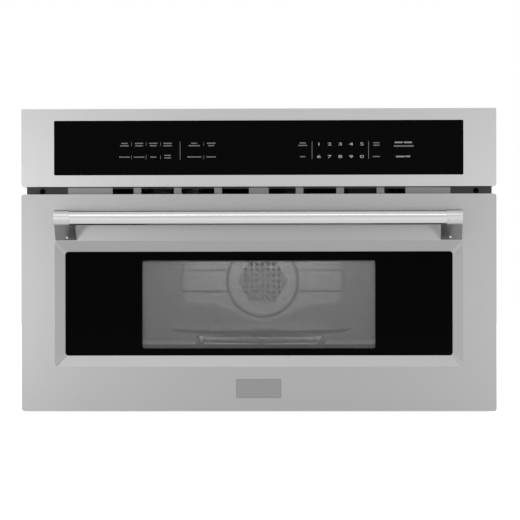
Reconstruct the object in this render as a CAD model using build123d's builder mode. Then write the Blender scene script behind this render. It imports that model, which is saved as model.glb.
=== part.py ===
"""Built-in convection microwave, 30 inch face, with a drop-down door.

Millimetres. X runs to the right, Y runs back from the face, Z runs up.
The origin is under the middle of the whole part, on the plane of the base skids.
"""

import os
from math import asin, cos, degrees, radians, sin

from build123d import *

os.makedirs("parts", exist_ok=True)

full_turn = 360.0
quarter_turn = 90.0

# Face of the appliance
face_width = 759.0
door_bottom = 3.0
door_height = 347.0
vent_gap = 12.0
fascia_height = 124.5
body_depth = 546.0
face_corner = 4.5
crown_corner = 1.6

# Sheet metal
skin = 1.2
sheet = 1.0
frame_sheet = 1.2

# Chassis
chassis_inset = 54.5
chassis_drop = 18.5
wing_inset = 3.3
skid_height = 6.0
skid_width = 44.0
skid_spacing = 440.0
toe_recess = 52.0
frame_low = 34.0
upstand_height = 48.0

# Cabinet screws in the frame wings, level with the vent gap
cabinet_screw_inset = 25.5
cabinet_screw_dia = 7.0

# Door
door_depth = 38.0
door_clear = 2.0
skin_return = 30.0
recess_margin = 53.2
recess_drop = 74.5
recess_rise = 71.1
recess_depth = 8.5
bevel_width = 16.0
bevel_height = 17.35
glass_corner = 5.0
glass_lap = 10.0
glass_thick = 4.0
screen_sheet = 0.8
nest_clear = 0.2

# Cavity
side_space = 52.5
cavity_floor_z = 100.0
cavity_drop = 25.0
back_space = 154.8
fan_drop = 5.5

# Handle
bar_dia = 23.0
bar_wall = 2.0
bar_offset = 49.9
bar_drop = 39.0
collar_dia = 25.6
collar_width = 24.6
handle_inset = 58.9
end_wall = 3.0
foot_out = 4.2
foot_in_low = 5.1
foot_in_high = 20.5
nose_in = 8.6
foot_low_drop = 73.7
foot_high_drop = 29.0
bar_clear = 0.1

# Hinge
pivot_back = 28.0
pivot_z = 22.0
pin_dia = 8.0
pin_clear = 0.05
arm_thick = 3.0
arm_half = 10.0
arm_clear = 1.2
cheek_thick = 2.5

# Turntable
plate_room = 13.0
plate_thick = 4.0
rim_height = 11.0
rim_run = 14.0
rim_edge = 2.0
roller_dia = 18.0
roller_width = 8.0
track_inset = 44.0
roller_count = 3
axle_dia = 4.0
run_clear = 0.3

# Places worked out from the sizes above
handle_reach = bar_offset + collar_dia / 2
front_y = (handle_reach - body_depth) / 2
rear_y = front_y + body_depth
half_face = face_width / 2
chassis_width = face_width - 2 * chassis_inset
wing_width = face_width - 2 * wing_inset
cabinet_screw_spacing = wing_width - 2 * cabinet_screw_inset
recess_width = face_width - 2 * recess_margin
glass_width = recess_width - 2 * bevel_width
cavity_width = chassis_width - 2 * side_space
collar_end = half_face - handle_inset
door_top = door_bottom + door_height
recess_height = door_height - recess_drop - recess_rise
glass_height = recess_height - 2 * bevel_height
window_centre = door_top - recess_drop - recess_height / 2
bar_centre_z = door_top - bar_drop
foot_low = door_top - foot_low_drop
foot_high = door_top - foot_high_drop
fascia_bottom = door_top + vent_gap
fascia_top = fascia_bottom + fascia_height
chassis_top = fascia_top - chassis_drop
half_chassis = chassis_width / 2
frame_y = front_y + door_depth + door_clear
frame_back = frame_y + frame_sheet
toe_y = front_y + toe_recess
pan_z = skid_height
pan_top = pan_z + frame_sheet
inner_half = half_chassis - sheet
rear_inner = rear_y - sheet
half_cavity = cavity_width / 2
cavity_top = door_top - cavity_drop
cavity_height = cavity_top - cavity_floor_z
cavity_depth = rear_y - frame_back - back_space
fan_centre_z = cavity_floor_z + cavity_height / 2 - fan_drop
plate_dia = cavity_depth - 2 * plate_room
track_radius = plate_dia / 2 - track_inset
cavity_back_y = frame_back + cavity_depth
turn_y = frame_back + cavity_depth / 2
pivot_y = front_y + pivot_back


def save(piece, label):
    """Name a finished piece and write it as its own file."""
    piece.part.label = label
    export_step(piece.part, f"parts/{label}.step")


def facing(y):
    """Plane square to Y at depth y, with X to the right and Z up; a negative extrusion runs back."""
    return Plane.XZ.offset(-y)


def block(x_range, y_range, z_range, mode=Mode.ADD):
    """A block between two limits on each axis, added to the part being built."""
    middle = [(low + high) / 2 for low, high in (x_range, y_range, z_range)]
    size = [high - low for low, high in (x_range, y_range, z_range)]
    with Locations(Vector(*middle)):
        Box(*size, mode=mode)


def rod(start, direction, radius, length, mode=Mode.ADD):
    """A round rod from a start point along a direction, added to the part being built."""
    with Locations(Plane(start, z_dir=direction)):
        Cylinder(radius, length, align=(Align.CENTER, Align.CENTER, Align.MIN), mode=mode)


def slot_row(plane, centre, count, pitch, length, width, depth):
    """Cut a row of air slots through a panel that lies on the plane."""
    with BuildSketch(plane) as slots:
        with Locations(centre):
            with GridLocations(pitch, 0, count, 1):
                Rectangle(length, width, rotation=90)
    extrude(slots.sketch, amount=depth, both=True, mode=Mode.SUBTRACT)


# Base pan: a tray with pressed skids and a slotted front wall for the hinge arms
arm_outer = inner_half - frame_sheet
arm_inner = arm_outer - arm_thick
with BuildPart() as base_pan:
    with BuildSketch(facing(toe_y)):
        with BuildLine():
            Polyline(
                (-inner_half, upstand_height),
                (-inner_half, pan_z),
                (inner_half, pan_z),
                (inner_half, upstand_height),
                (inner_half - frame_sheet, upstand_height),
                (inner_half - frame_sheet, pan_top),
                (-inner_half + frame_sheet, pan_top),
                (-inner_half + frame_sheet, upstand_height),
                close=True,
            )
        make_face()
    extrude(amount=toe_y - rear_inner)
    block((-inner_half, inner_half), (toe_y, toe_y + frame_sheet), (pan_z, frame_low))
    skid_length = rear_inner - toe_y - 2 * skid_width
    skid_y = (toe_y + rear_inner) / 2
    with BuildSketch(Plane.XY):
        with Locations((0, skid_y)):
            with GridLocations(skid_spacing, 0, 2, 1):
                SlotOverall(skid_length, skid_width, rotation=90)
    extrude(amount=pan_top)
    with BuildSketch(Plane.XY.offset(frame_sheet)):
        with Locations((0, skid_y)):
            with GridLocations(skid_spacing, 0, 2, 1):
                SlotOverall(skid_length - 2 * frame_sheet, skid_width - 2 * frame_sheet, rotation=90)
    extrude(amount=pan_top, mode=Mode.SUBTRACT)
    arm_slot_middle = (arm_inner + inner_half) / 2
    arm_slot = inner_half - arm_inner + 2 * arm_clear
    for side in (-1, 1):
        with Locations((side * arm_slot_middle, toe_y, pivot_z)):
            Box(arm_slot, 4 * frame_sheet, 2 * (arm_half + arm_clear), mode=Mode.SUBTRACT)
save(base_pan, "base_pan")

# Side panels: notched over the door's swing, with a top flange and a row of air slots
flange = 12.0
vent_slot_length = 60.0
vent_slot_width = 5.0
vent_slot_pitch = 14.0
vent_slot_count = 8
vent_y = rear_inner - vent_slot_count * vent_slot_pitch
vent_z = chassis_top - vent_slot_length
for side, name in ((-1, "left"), (1, "right")):
    with BuildPart() as side_panel:
        with BuildSketch(Plane.YZ.offset(side * half_chassis)):
            with BuildLine():
                Polyline(
                    (frame_back, frame_low),
                    (toe_y, frame_low),
                    (toe_y, pan_z),
                    (rear_inner, pan_z),
                    (rear_inner, chassis_top - sheet),
                    (frame_back, chassis_top - sheet),
                    close=True,
                )
            make_face()
        extrude(amount=-side * sheet)
        flange_x = sorted((side * half_chassis, side * (half_chassis - flange)))
        block(flange_x, (frame_back, rear_inner), (chassis_top - 2 * sheet, chassis_top - sheet))
        slot_row(Plane.YZ.offset(side * half_chassis), (vent_y, vent_z), vent_slot_count,
                 vent_slot_pitch, vent_slot_length, vent_slot_width, 2 * sheet)
    save(side_panel, f"side_panel_{name}")

# Top panel: a flat sheet with a pressed stiffening panel
press_depth = 3.0
press_margin = 70.0
press_corner = 24.0
with BuildPart() as top_panel:
    block((-half_chassis, half_chassis), (frame_back, rear_inner), (chassis_top - sheet, chassis_top))
    top_y = (frame_back + rear_inner) / 2
    press_length = rear_inner - frame_back - 2 * press_margin
    press_width = chassis_width - 2 * press_margin
    with BuildSketch(Plane.XY.offset(chassis_top)):
        with Locations((0, top_y)):
            RectangleRounded(press_width, press_length, press_corner)
    extrude(amount=press_depth)
    with BuildSketch(Plane.XY.offset(chassis_top - sheet)):
        with Locations((0, top_y)):
            RectangleRounded(press_width - 2 * sheet, press_length - 2 * sheet, press_corner - sheet)
    extrude(amount=press_depth, mode=Mode.SUBTRACT)
save(top_panel, "top_panel")

# Rear panel: outlet slots behind the blower and an opening for the mains inlet
inlet_inset = 74.0
inlet_z = 60.0
inlet_width = 28.0
inlet_height = 20.0
outlet_inset = 174.0
outlet_slot_length = 30.0
outlet_drop = 44.0
outlet_row_spacing = 38.0
outlet_z = chassis_top - outlet_drop
inlet_x = inner_half - inlet_inset
outlet_x = outlet_inset - inner_half
with BuildPart() as rear_panel:
    block((-half_chassis, half_chassis), (rear_inner, rear_y), (pan_z, chassis_top))
    for row in (-1, 1):
        slot_row(facing(rear_y), (outlet_x, outlet_z + row * outlet_row_spacing / 2), 2 * vent_slot_count,
                 vent_slot_pitch, outlet_slot_length, vent_slot_width, 2 * sheet)
    with BuildSketch(facing(rear_y)) as inlet_hole:
        with Locations((inlet_x, inlet_z)):
            Rectangle(inlet_width, inlet_height)
    extrude(inlet_hole.sketch, amount=2 * sheet, both=True, mode=Mode.SUBTRACT)
save(rear_panel, "rear_panel")

# Front frame: painted sheet around the cavity mouth, with screw wings and a bottom flange
latch_out = 27.5
latch_drop = 42.0
latch_slot_width = 12.0
latch_slot_height = 34.0
grille_inset = 15.6
grille_drop = 7.0
loom_inset = 32.5
loom_height = 60.0
loom_z = (fascia_bottom + fascia_top) / 2
latch_x = half_cavity + latch_out
latch_z = door_top - latch_drop
grille_low = door_top - grille_drop
grille_width = chassis_width - 2 * grille_inset
loom_width = cavity_width - 2 * loom_inset
cabinet_screw_z = door_top + vent_gap / 2
air_drop = 2.0
air_low = door_top - air_drop
air_high = fascia_bottom - air_drop
with BuildPart() as front_frame:
    with BuildSketch(facing(frame_y)):
        with Locations((0, (frame_low + chassis_top) / 2)):
            RectangleRounded(wing_width, chassis_top - frame_low, face_corner)
        with Locations((0, cavity_floor_z + cavity_height / 2)):
            Rectangle(cavity_width, cavity_height, mode=Mode.SUBTRACT)
        with Locations((0, (air_low + air_high) / 2)):
            Rectangle(grille_width - 2 * flange, air_high - air_low, mode=Mode.SUBTRACT)
        with Locations((0, loom_z)):
            RectangleRounded(loom_width, loom_height, face_corner, mode=Mode.SUBTRACT)
        with Locations((-latch_x, latch_z), (latch_x, latch_z)):
            Rectangle(latch_slot_width, latch_slot_height, mode=Mode.SUBTRACT)
        with Locations((0, cabinet_screw_z)):
            with GridLocations(cabinet_screw_spacing, 0, 2, 1):
                Circle(cabinet_screw_dia / 2, mode=Mode.SUBTRACT)
    extrude(amount=-frame_sheet)
    flange_half = inner_half - frame_sheet
    block((-flange_half, flange_half), (frame_y, toe_y + frame_sheet), (frame_low, frame_low + frame_sheet))
save(front_frame, "front_frame")

# Vent grille: a comb of ribs between four air slots on each side of a wide middle rib, with closed end plates;
# the slots are open at the top, and the ribs stand on the strip behind the door's top edge
grille_sheet = 1.2
grille_clear = 0.3
slot_lap = 1.0
grille_slot_low = door_top - slot_lap
grille_slot_high = fascia_bottom + slot_lap
rib_middle = 32.0
rib_width = 12.4
slot_widths = (43.7, 53.0, 53.0, 34.0)
grille_high = fascia_bottom - grille_clear
with BuildPart() as vent_grille:
    with BuildSketch(facing(frame_y - grille_sheet)):
        with Locations((0, (grille_low + grille_high) / 2)):
            Rectangle(grille_width, grille_high - grille_low)
        for step, slot_width in enumerate(slot_widths):
            slot_start = rib_middle / 2 + sum(slot_widths[:step]) + step * rib_width
            slot_centre = slot_start + slot_width / 2
            with Locations((0, (grille_slot_low + grille_slot_high) / 2)):
                with GridLocations(2 * slot_centre, 0, 2, 1):
                    Rectangle(slot_width, grille_slot_high - grille_slot_low, mode=Mode.SUBTRACT)
    extrude(amount=-grille_sheet)
save(vent_grille, "vent_grille")

# Control fascia: a folded stainless tray with the opening for the control glass
panel_glass_margin = 52.4
panel_glass_height = 87.4
panel_glass_rise = 18.3
panel_glass_thick = 3.0
panel_glass_inset = 0.5
panel_glass_corner = 2.0
stud_dia = 9.0
stud_inset = 22.0
fascia_z = (fascia_bottom + fascia_top) / 2
panel_glass_width = face_width - 2 * panel_glass_margin
panel_glass_z = fascia_bottom + panel_glass_rise + panel_glass_height / 2
with BuildPart() as control_fascia:
    with BuildSketch(facing(front_y)) as fascia_outline:
        with Locations((0, fascia_z)):
            Rectangle(face_width, fascia_height)
        fillet(fascia_outline.vertices().group_by(Axis.Y)[0], face_corner)
        fillet(fascia_outline.vertices().group_by(Axis.Y)[-1], crown_corner)
    extrude(amount=front_y - frame_y)
    with BuildSketch(facing(front_y + skin)) as fascia_hollow:
        with Locations((0, fascia_z)):
            Rectangle(face_width - 2 * skin, fascia_height - 2 * skin)
        fillet(fascia_hollow.vertices().group_by(Axis.Y)[0], face_corner - skin)
        fillet(fascia_hollow.vertices().group_by(Axis.Y)[-1], crown_corner - skin)
    extrude(amount=front_y + skin - frame_y, mode=Mode.SUBTRACT)
    with BuildSketch(facing(front_y)):
        with Locations((0, panel_glass_z)):
            RectangleRounded(panel_glass_width, panel_glass_height, panel_glass_corner)
    extrude(amount=-skin, mode=Mode.SUBTRACT)
    stud_spacing = face_width - 2 * skin - 2 * stud_inset
    stud_low = fascia_bottom + stud_inset
    stud_high = chassis_top - stud_inset
    with BuildSketch(facing(front_y + skin)):
        with Locations((0, (stud_low + stud_high) / 2)):
            with GridLocations(stud_spacing, stud_high - stud_low, 2, 2):
                RegularPolygon(stud_dia / 2, 6)
    extrude(amount=front_y + skin - frame_y)
save(control_fascia, "control_fascia")

# Control glass: black tempered glass with a chamfered edge, set just behind the fascia face
edge_clear = 0.2
edge_chamfer = 0.8
glass_y = front_y + panel_glass_inset
carrier_y = glass_y + panel_glass_thick
with BuildPart() as control_glass:
    with BuildSketch(facing(glass_y)):
        with Locations((0, panel_glass_z)):
            RectangleRounded(panel_glass_width - 2 * edge_clear, panel_glass_height - 2 * edge_clear,
                             panel_glass_corner - edge_clear)
    extrude(amount=-panel_glass_thick)
    chamfer(control_glass.faces().sort_by(Axis.Y)[0].edges(), edge_chamfer)
save(control_glass, "control_glass")

# Glass carrier: moulded plate that holds the glass against the back of the fascia
carrier_thick = 3.0
carrier_lap = 7.0
carrier_boss = 6.0
boss_inset = 14.5
board_thick = 1.6
with BuildPart() as glass_carrier:
    with BuildSketch(facing(front_y + skin)):
        with Locations((0, panel_glass_z)):
            RectangleRounded(panel_glass_width + 2 * carrier_lap, panel_glass_height + 2 * carrier_lap,
                             face_corner)
    extrude(amount=front_y + skin - carrier_y - carrier_thick)
    with BuildSketch(facing(front_y + skin)):
        with Locations((0, panel_glass_z)):
            RectangleRounded(panel_glass_width, panel_glass_height, panel_glass_corner)
    extrude(amount=front_y + skin - carrier_y, mode=Mode.SUBTRACT)
    with BuildSketch(facing(carrier_y + carrier_thick)):
        with Locations((0, panel_glass_z)):
            with GridLocations(panel_glass_width / 3, panel_glass_height - 2 * boss_inset, 3, 2):
                RegularPolygon(carrier_boss / 2, 6)
    extrude(amount=-carrier_boss)
save(glass_carrier, "glass_carrier")

# Control board with its relays, and the display module in front of it
board_y = carrier_y + carrier_thick + carrier_boss
board_side = 82.0
board_edge = 6.5
board_width = panel_glass_width - 2 * board_side
board_height = panel_glass_height - 2 * board_edge
display_width = 130.0
display_height = 30.0
relay_width = 28.0
relay_depth = 16.0
relay_count = 6
with BuildPart() as control_board:
    block((-board_width / 2, board_width / 2), (board_y, board_y + board_thick),
          (panel_glass_z - board_height / 2, panel_glass_z + board_height / 2))
    with BuildSketch(facing(board_y + board_thick)):
        with Locations((0, panel_glass_z)):
            with GridLocations(2 * relay_width, 0, relay_count, 1):
                Rectangle(relay_width, relay_width / 2)
    extrude(amount=-relay_depth)
save(control_board, "control_board")
with BuildPart() as display_module:
    block((-display_width / 2, display_width / 2), (carrier_y + carrier_thick, board_y),
          (panel_glass_z - display_height / 2, panel_glass_z + display_height / 2))
    fillet(display_module.edges().filter_by(Axis.Y), panel_glass_corner)
save(display_module, "display_module")

# Cavity: five enamelled walls, the sides with pressed rack ledges
ledge_end = 30.0
ledge_width = 14.0
ledge_depth = 4.0
press_taper = 20.0
ledge_heights = (60.0, 130.0)
ledge_length = cavity_depth - 2 * ledge_end
shaft_hole_dia = 17.0
with BuildPart() as cavity_floor:
    block((-half_cavity, half_cavity), (frame_back, cavity_back_y), (cavity_floor_z - sheet, cavity_floor_z))
    with Locations((0, turn_y, cavity_floor_z)):
        Hole(shaft_hole_dia / 2)
save(cavity_floor, "cavity_floor")
guide_width = 90.0
guide_depth = 60.0
guide_x = outlet_x
guide_corner = 4.0
with BuildPart() as cavity_ceiling:
    block((-half_cavity, half_cavity), (frame_back, cavity_back_y), (cavity_top, cavity_top + sheet))
    with BuildSketch(Plane.XY.offset(cavity_top)):
        with Locations((guide_x, turn_y)):
            RectangleRounded(guide_width, guide_depth, guide_corner)
    extrude(amount=sheet, mode=Mode.SUBTRACT)
save(cavity_ceiling, "cavity_ceiling")
lamp_forward = 60.0
lamp_drop = 40.0
lamp_y = turn_y - lamp_forward
lamp_z = cavity_top - lamp_drop
lamp_dia = 36.0
for side, name in ((-1, "left"), (1, "right")):
    with BuildPart() as cavity_side:
        wall_x = sorted((side * half_cavity, side * (half_cavity + sheet)))
        block(wall_x, (frame_back, cavity_back_y), (cavity_floor_z - sheet, cavity_top + sheet))
        with BuildSketch(Plane.YZ.offset(side * half_cavity)) as ledges:
            for height in ledge_heights:
                with Locations((turn_y, cavity_floor_z + height)):
                    SlotOverall(ledge_length, ledge_width)
        extrude(ledges.sketch, amount=-side * ledge_depth, taper=press_taper)
        if side > 0:
            rod((half_cavity, lamp_y, lamp_z), (1, 0, 0), lamp_dia / 2, sheet, Mode.SUBTRACT)
    save(cavity_side, f"cavity_side_{name}")

# Cavity back: pressed band across the wall and a round opening behind the fan cover
band_width = 292.0
band_height = 38.0
band_depth = 3.0
band_corner = 6.0
cover_dia = 132.0
cover_bead = 5.0
cover_bead_depth = 4.0
fan_opening_dia = 112.0
back_outer = cavity_back_y + sheet
with BuildPart() as cavity_back:
    block((-half_cavity - sheet, half_cavity + sheet), (cavity_back_y, back_outer),
          (cavity_floor_z - sheet, cavity_top + sheet))
    with BuildSketch(facing(cavity_back_y)):
        with Locations((0, fan_centre_z)):
            RectangleRounded(band_width, band_height, band_corner)
            Circle(cover_dia / 2 + run_clear, mode=Mode.SUBTRACT)
    extrude(amount=band_depth)
    rod((0, cavity_back_y, fan_centre_z), (0, 1, 0), fan_opening_dia / 2, sheet, Mode.SUBTRACT)
save(cavity_back, "cavity_back")

# Fan cover: a beaded ring around an eight-sided field of holes
field_flats = 78.0
hole_dia = 7.0
hole_pitch = 10.0
with BuildPart() as fan_cover:
    with BuildSketch(facing(cavity_back_y)):
        with Locations((0, fan_centre_z)):
            Circle(cover_dia / 2)
    extrude(amount=sheet)
    with BuildSketch(facing(cavity_back_y - sheet)):
        with Locations((0, fan_centre_z)):
            Circle(cover_dia / 2)
            Circle(cover_dia / 2 - cover_bead, mode=Mode.SUBTRACT)
    extrude(amount=cover_bead_depth - sheet, taper=press_taper)
    hole_limit = (field_flats - hole_dia) / 2
    rows = int(hole_limit / hole_pitch)
    with BuildSketch(facing(cavity_back_y)) as field:
        for row in range(-rows, rows + 1):
            reach = min(hole_limit, 2 ** 0.5 * hole_limit - abs(row) * hole_pitch)
            count = int(reach / hole_pitch)
            for column in range(-count, count + 1):
                with Locations((column * hole_pitch, fan_centre_z + row * hole_pitch)):
                    RegularPolygon(hole_dia / 2, 6)
    extrude(field.sketch, amount=sheet, mode=Mode.SUBTRACT)
save(fan_cover, "fan_cover")

# Convection housing: a drawn pan behind the cavity back, with holes for the shaft and heater legs
chamber_width = 236.0
chamber_height = 190.0
chamber_depth = 58.0
chamber_flange = 10.0
chamber_corner = 24.0
heater_back = 32.0
shaft_room = 1.5
fan_shaft_dia = 8.0
heater_radius = 78.0
heater_tube = 7.0
heater_leg_spacing = 36.0
chamber_back = back_outer + chamber_depth
heater_y = back_outer + heater_back
heater_leg_drop = (heater_radius ** 2 - heater_leg_spacing ** 2 / 4) ** 0.5
heater_leg_z = fan_centre_z - heater_leg_drop
with BuildPart() as convection_housing:
    with BuildSketch(facing(back_outer)):
        with Locations((0, fan_centre_z)):
            RectangleRounded(chamber_width + 2 * chamber_flange, chamber_height + 2 * chamber_flange,
                             chamber_corner)
    extrude(amount=-sheet)
    with BuildSketch(facing(back_outer)):
        with Locations((0, fan_centre_z)):
            RectangleRounded(chamber_width, chamber_height, chamber_corner)
    extrude(amount=-chamber_depth)
    with BuildSketch(facing(back_outer)):
        with Locations((0, fan_centre_z)):
            RectangleRounded(chamber_width - 2 * sheet, chamber_height - 2 * sheet, chamber_corner - sheet)
    extrude(amount=sheet - chamber_depth, mode=Mode.SUBTRACT)
    rod((0, chamber_back - sheet, fan_centre_z), (0, 1, 0), fan_shaft_dia / 2 + shaft_room, sheet,
        Mode.SUBTRACT)
    for side in (-1, 1):
        leg = (side * heater_leg_spacing / 2, chamber_back - sheet, heater_leg_z)
        rod(leg, (0, 1, 0), heater_tube / 2 + bar_clear, sheet, Mode.SUBTRACT)
save(convection_housing, "convection_housing")

# Convection heater: a ring of tube with two legs out through the housing
heater_leg_out = 14.0
with BuildPart() as convection_heater:
    half_gap = degrees(asin(heater_leg_spacing / 2 / heater_radius))
    with BuildLine(Plane((0, heater_y, fan_centre_z), x_dir=(1, 0, 0), z_dir=(0, -1, 0))) as heater_path:
        CenterArc((0, 0), heater_radius, half_gap - quarter_turn, full_turn - 2 * half_gap)
    with BuildSketch(Plane(heater_path.line @ 0, z_dir=heater_path.line % 0)):
        RegularPolygon(heater_tube / 2, 8)
    sweep()
    for side in (-1, 1):
        leg = (side * heater_leg_spacing / 2, heater_y, heater_leg_z)
        rod(leg, (0, 1, 0), heater_tube / 2, chamber_back - heater_y + heater_leg_out)
save(convection_heater, "convection_heater")

# Convection fan: radial blades on a back disc, with the shaft into the motor
fan_dia = 124.0
blade_count = 8
blade_depth = 20.0
hub_dia = 26.0
blade_root = 2.0
fan_gap = 8.0
motor_gap = 12.0
motor_dia = 62.0
motor_length = 36.0
shaft_seat = 14.0
motor_foot_circle = 47.0
motor_foot_dia = 8.0
motor_foot_count = 3
fan_back = chamber_back - sheet - fan_gap
with BuildPart() as convection_fan:
    rod((0, fan_back - skin, fan_centre_z), (0, 1, 0), fan_dia / 2, skin)
    rod((0, fan_back - blade_depth, fan_centre_z), (0, 1, 0), hub_dia / 2, blade_depth)
    rod((0, fan_back, fan_centre_z), (0, 1, 0), fan_shaft_dia / 2,
        chamber_back + motor_gap + shaft_seat - fan_back)
    blade_length = (fan_dia - hub_dia) / 2 + blade_root
    with BuildSketch(facing(fan_back - blade_depth)) as blades:
        with Locations((0, fan_centre_z)):
            with PolarLocations((hub_dia + blade_length) / 2 - blade_root, blade_count):
                Rectangle(blade_length, skin)
    extrude(blades.sketch, amount=-blade_depth)
save(convection_fan, "convection_fan")
with BuildPart() as convection_motor:
    rod((0, chamber_back + motor_gap, fan_centre_z), (0, 1, 0), motor_dia / 2, motor_length)
    chamfer(convection_motor.faces().sort_by(Axis.Y)[-1].edges(), motor_gap / 2)
    for turn in range(motor_foot_count):
        angle = radians(quarter_turn + full_turn / motor_foot_count * turn)
        foot_x = motor_foot_circle / 2 * cos(angle)
        foot_z = fan_centre_z + motor_foot_circle / 2 * sin(angle)
        rod((foot_x, chamber_back, foot_z), (0, 1, 0), motor_foot_dia / 2, motor_gap + shaft_room)
    rod((0, chamber_back + motor_gap, fan_centre_z), (0, 1, 0), fan_shaft_dia / 2 + pin_clear,
        shaft_seat + shaft_room, Mode.SUBTRACT)
save(convection_motor, "convection_motor")

# Turntable: glass plate with a raised rim, its drive coupler, and the motor below the floor
roller_z = cavity_floor_z + run_clear / 2 + roller_dia / 2
plate_z = roller_z + roller_dia / 2 + run_clear / 2
coupler_head_dia = 26.0
coupler_head_height = 9.0
coupler_dia = 12.0
turn_motor_dia = 52.0
turn_motor_height = 24.0
coupler_seat = 10.0
coupler_room = 1.0
lobe_count = 3
ear_reach = 16.0
ear_width = 14.0
ear_thick = 2.0
hub_wall = 4.0
floor_under = cavity_floor_z - sheet
with BuildPart() as turntable_plate:
    with BuildSketch(Plane((0, turn_y, 0), x_dir=(1, 0, 0), z_dir=(0, -1, 0))):
        with BuildLine():
            Polyline(
                (0, plate_z),
                (plate_dia / 2 - rim_run, plate_z),
                (plate_dia / 2, plate_z + rim_height - rim_edge),
                (plate_dia / 2, plate_z + rim_height),
                (plate_dia / 2 - plate_thick, plate_z + rim_height),
                (plate_dia / 2 - rim_run - plate_thick, plate_z + plate_thick),
                (0, plate_z + plate_thick),
                close=True,
            )
        make_face()
    revolve(axis=Axis((0, turn_y, 0), (0, 0, 1)))
    with BuildSketch(Plane.XY.offset(plate_z)) as hub_ring:
        with Locations((0, turn_y)):
            Circle(coupler_head_dia / 2 + run_clear + hub_wall)
            Circle(coupler_head_dia / 2 + run_clear, mode=Mode.SUBTRACT)
    extrude(hub_ring.sketch, amount=-coupler_head_height / 2)
save(turntable_plate, "turntable_plate")
with BuildPart() as turntable_coupler:
    rod((0, turn_y, floor_under - coupler_seat), (0, 0, 1), coupler_dia / 2,
        plate_z - floor_under + coupler_seat)
    with BuildSketch(Plane.XY.offset(plate_z)) as lobes:
        with Locations((0, turn_y)):
            Circle(coupler_dia / 2 + coupler_room)
            with PolarLocations(coupler_head_dia / 2 - coupler_dia / 4, lobe_count):
                Circle(coupler_dia / 4)
            with PolarLocations(coupler_head_dia / 4, lobe_count):
                Rectangle(coupler_head_dia / 2 - coupler_dia / 4, coupler_dia / 2)
    extrude(lobes.sketch, amount=-coupler_head_height)
save(turntable_coupler, "turntable_coupler")
with BuildPart() as turntable_motor:
    rod((0, turn_y, floor_under - turn_motor_height), (0, 0, 1), turn_motor_dia / 2, turn_motor_height)
    with BuildSketch(Plane.XY.offset(floor_under)) as ears:
        with Locations((0, turn_y)):
            SlotOverall(turn_motor_dia + 2 * ear_reach, ear_width)
    extrude(ears.sketch, amount=-ear_thick)
    rod((0, turn_y, floor_under - coupler_seat - coupler_room), (0, 0, 1), coupler_dia / 2 + pin_clear,
        coupler_seat + coupler_room, Mode.SUBTRACT)
save(turntable_motor, "turntable_motor")

# Roller ring: a light ring with three axles, and a wheel on each
ring_width = 8.0
ring_height = 5.0
ring_gap = 3.0
axle_over = 4.0
axle_root = 2.0
ring_outer = track_radius - roller_width / 2 - ring_gap
axle_start = ring_outer - axle_root
axle_end = track_radius + roller_width / 2 + axle_over
with BuildPart() as roller_ring:
    with BuildSketch(Plane.XY.offset(roller_z - ring_height / 2)) as ring_band:
        with Locations((0, turn_y)):
            Circle(ring_outer)
            Circle(ring_outer - ring_width, mode=Mode.SUBTRACT)
    extrude(ring_band.sketch, amount=ring_height)
    for turn in range(roller_count):
        angle = radians(quarter_turn + full_turn / roller_count * turn)
        start = (axle_start * cos(angle), turn_y + axle_start * sin(angle), roller_z)
        rod(start, (cos(angle), sin(angle), 0), axle_dia / 2, axle_end - axle_start)
save(roller_ring, "roller_ring")
for turn in range(roller_count):
    angle = radians(quarter_turn + full_turn / roller_count * turn)
    inner = track_radius - roller_width / 2
    start = (inner * cos(angle), turn_y + inner * sin(angle), roller_z)
    outward = (cos(angle), sin(angle), 0)
    with BuildPart() as roller:
        rod(start, outward, roller_dia / 2, roller_width)
        chamfer(roller.edges().filter_by(GeomType.CIRCLE), roller_width / 6)
        rod(start, outward, axle_dia / 2 + pin_clear, roller_width, Mode.SUBTRACT)
    save(roller, f"roller_{turn + 1}")

# Component shelf over the cavity, carried between the side panels
shelf_gap = 14.0
guide_rise = 34.0
shelf_z = cavity_top + shelf_gap
shelf_top = shelf_z + sheet
guide_wall = 1.0
guide_outer_width = guide_width + 2 * guide_wall
guide_front = turn_y - guide_depth / 2 - guide_wall
guide_length = 190.0
guide_top = shelf_top + guide_rise
with BuildPart() as component_shelf:
    block((-inner_half, inner_half), (frame_back, rear_inner), (shelf_z, shelf_top))
    block((guide_x - guide_outer_width / 2 - run_clear, guide_x + guide_outer_width / 2 + run_clear),
          (guide_front - run_clear, guide_front + guide_length + run_clear), (shelf_z, shelf_top),
          Mode.SUBTRACT)
save(component_shelf, "component_shelf")

# Waveguide: a rectangular duct from the magnetron to the cavity ceiling, and its mica cover inside
antenna_dia = 18.0
antenna_clear = 3.0
antenna_inset = 50.0
guide_bend = 24.0
antenna_y = guide_front + guide_length - antenna_inset
ceiling_top = cavity_top + sheet
with BuildPart() as waveguide:
    block((guide_x - guide_outer_width / 2, guide_x + guide_outer_width / 2),
          (guide_front, guide_front + guide_length), (ceiling_top, guide_top))
    fillet(waveguide.faces().sort_by(Axis.Z)[-1].edges().sort_by(Axis.Y)[0], guide_bend)
    block((guide_x - guide_width / 2, guide_x + guide_width / 2),
          (guide_front + guide_wall, guide_front + guide_length - guide_wall),
          (ceiling_top + guide_wall, guide_top - guide_wall), Mode.SUBTRACT)
    with BuildSketch(Plane.XY.offset(ceiling_top)) as mouth:
        with Locations((guide_x, turn_y)):
            RectangleRounded(guide_width, guide_depth, guide_corner)
    extrude(mouth.sketch, amount=guide_wall, mode=Mode.SUBTRACT)
    rod((guide_x, antenna_y, guide_top - guide_wall), (0, 0, 1), antenna_dia / 2 + antenna_clear,
        guide_wall, Mode.SUBTRACT)
save(waveguide, "waveguide")
mica = 0.6
mica_lap = 8.0
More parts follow.
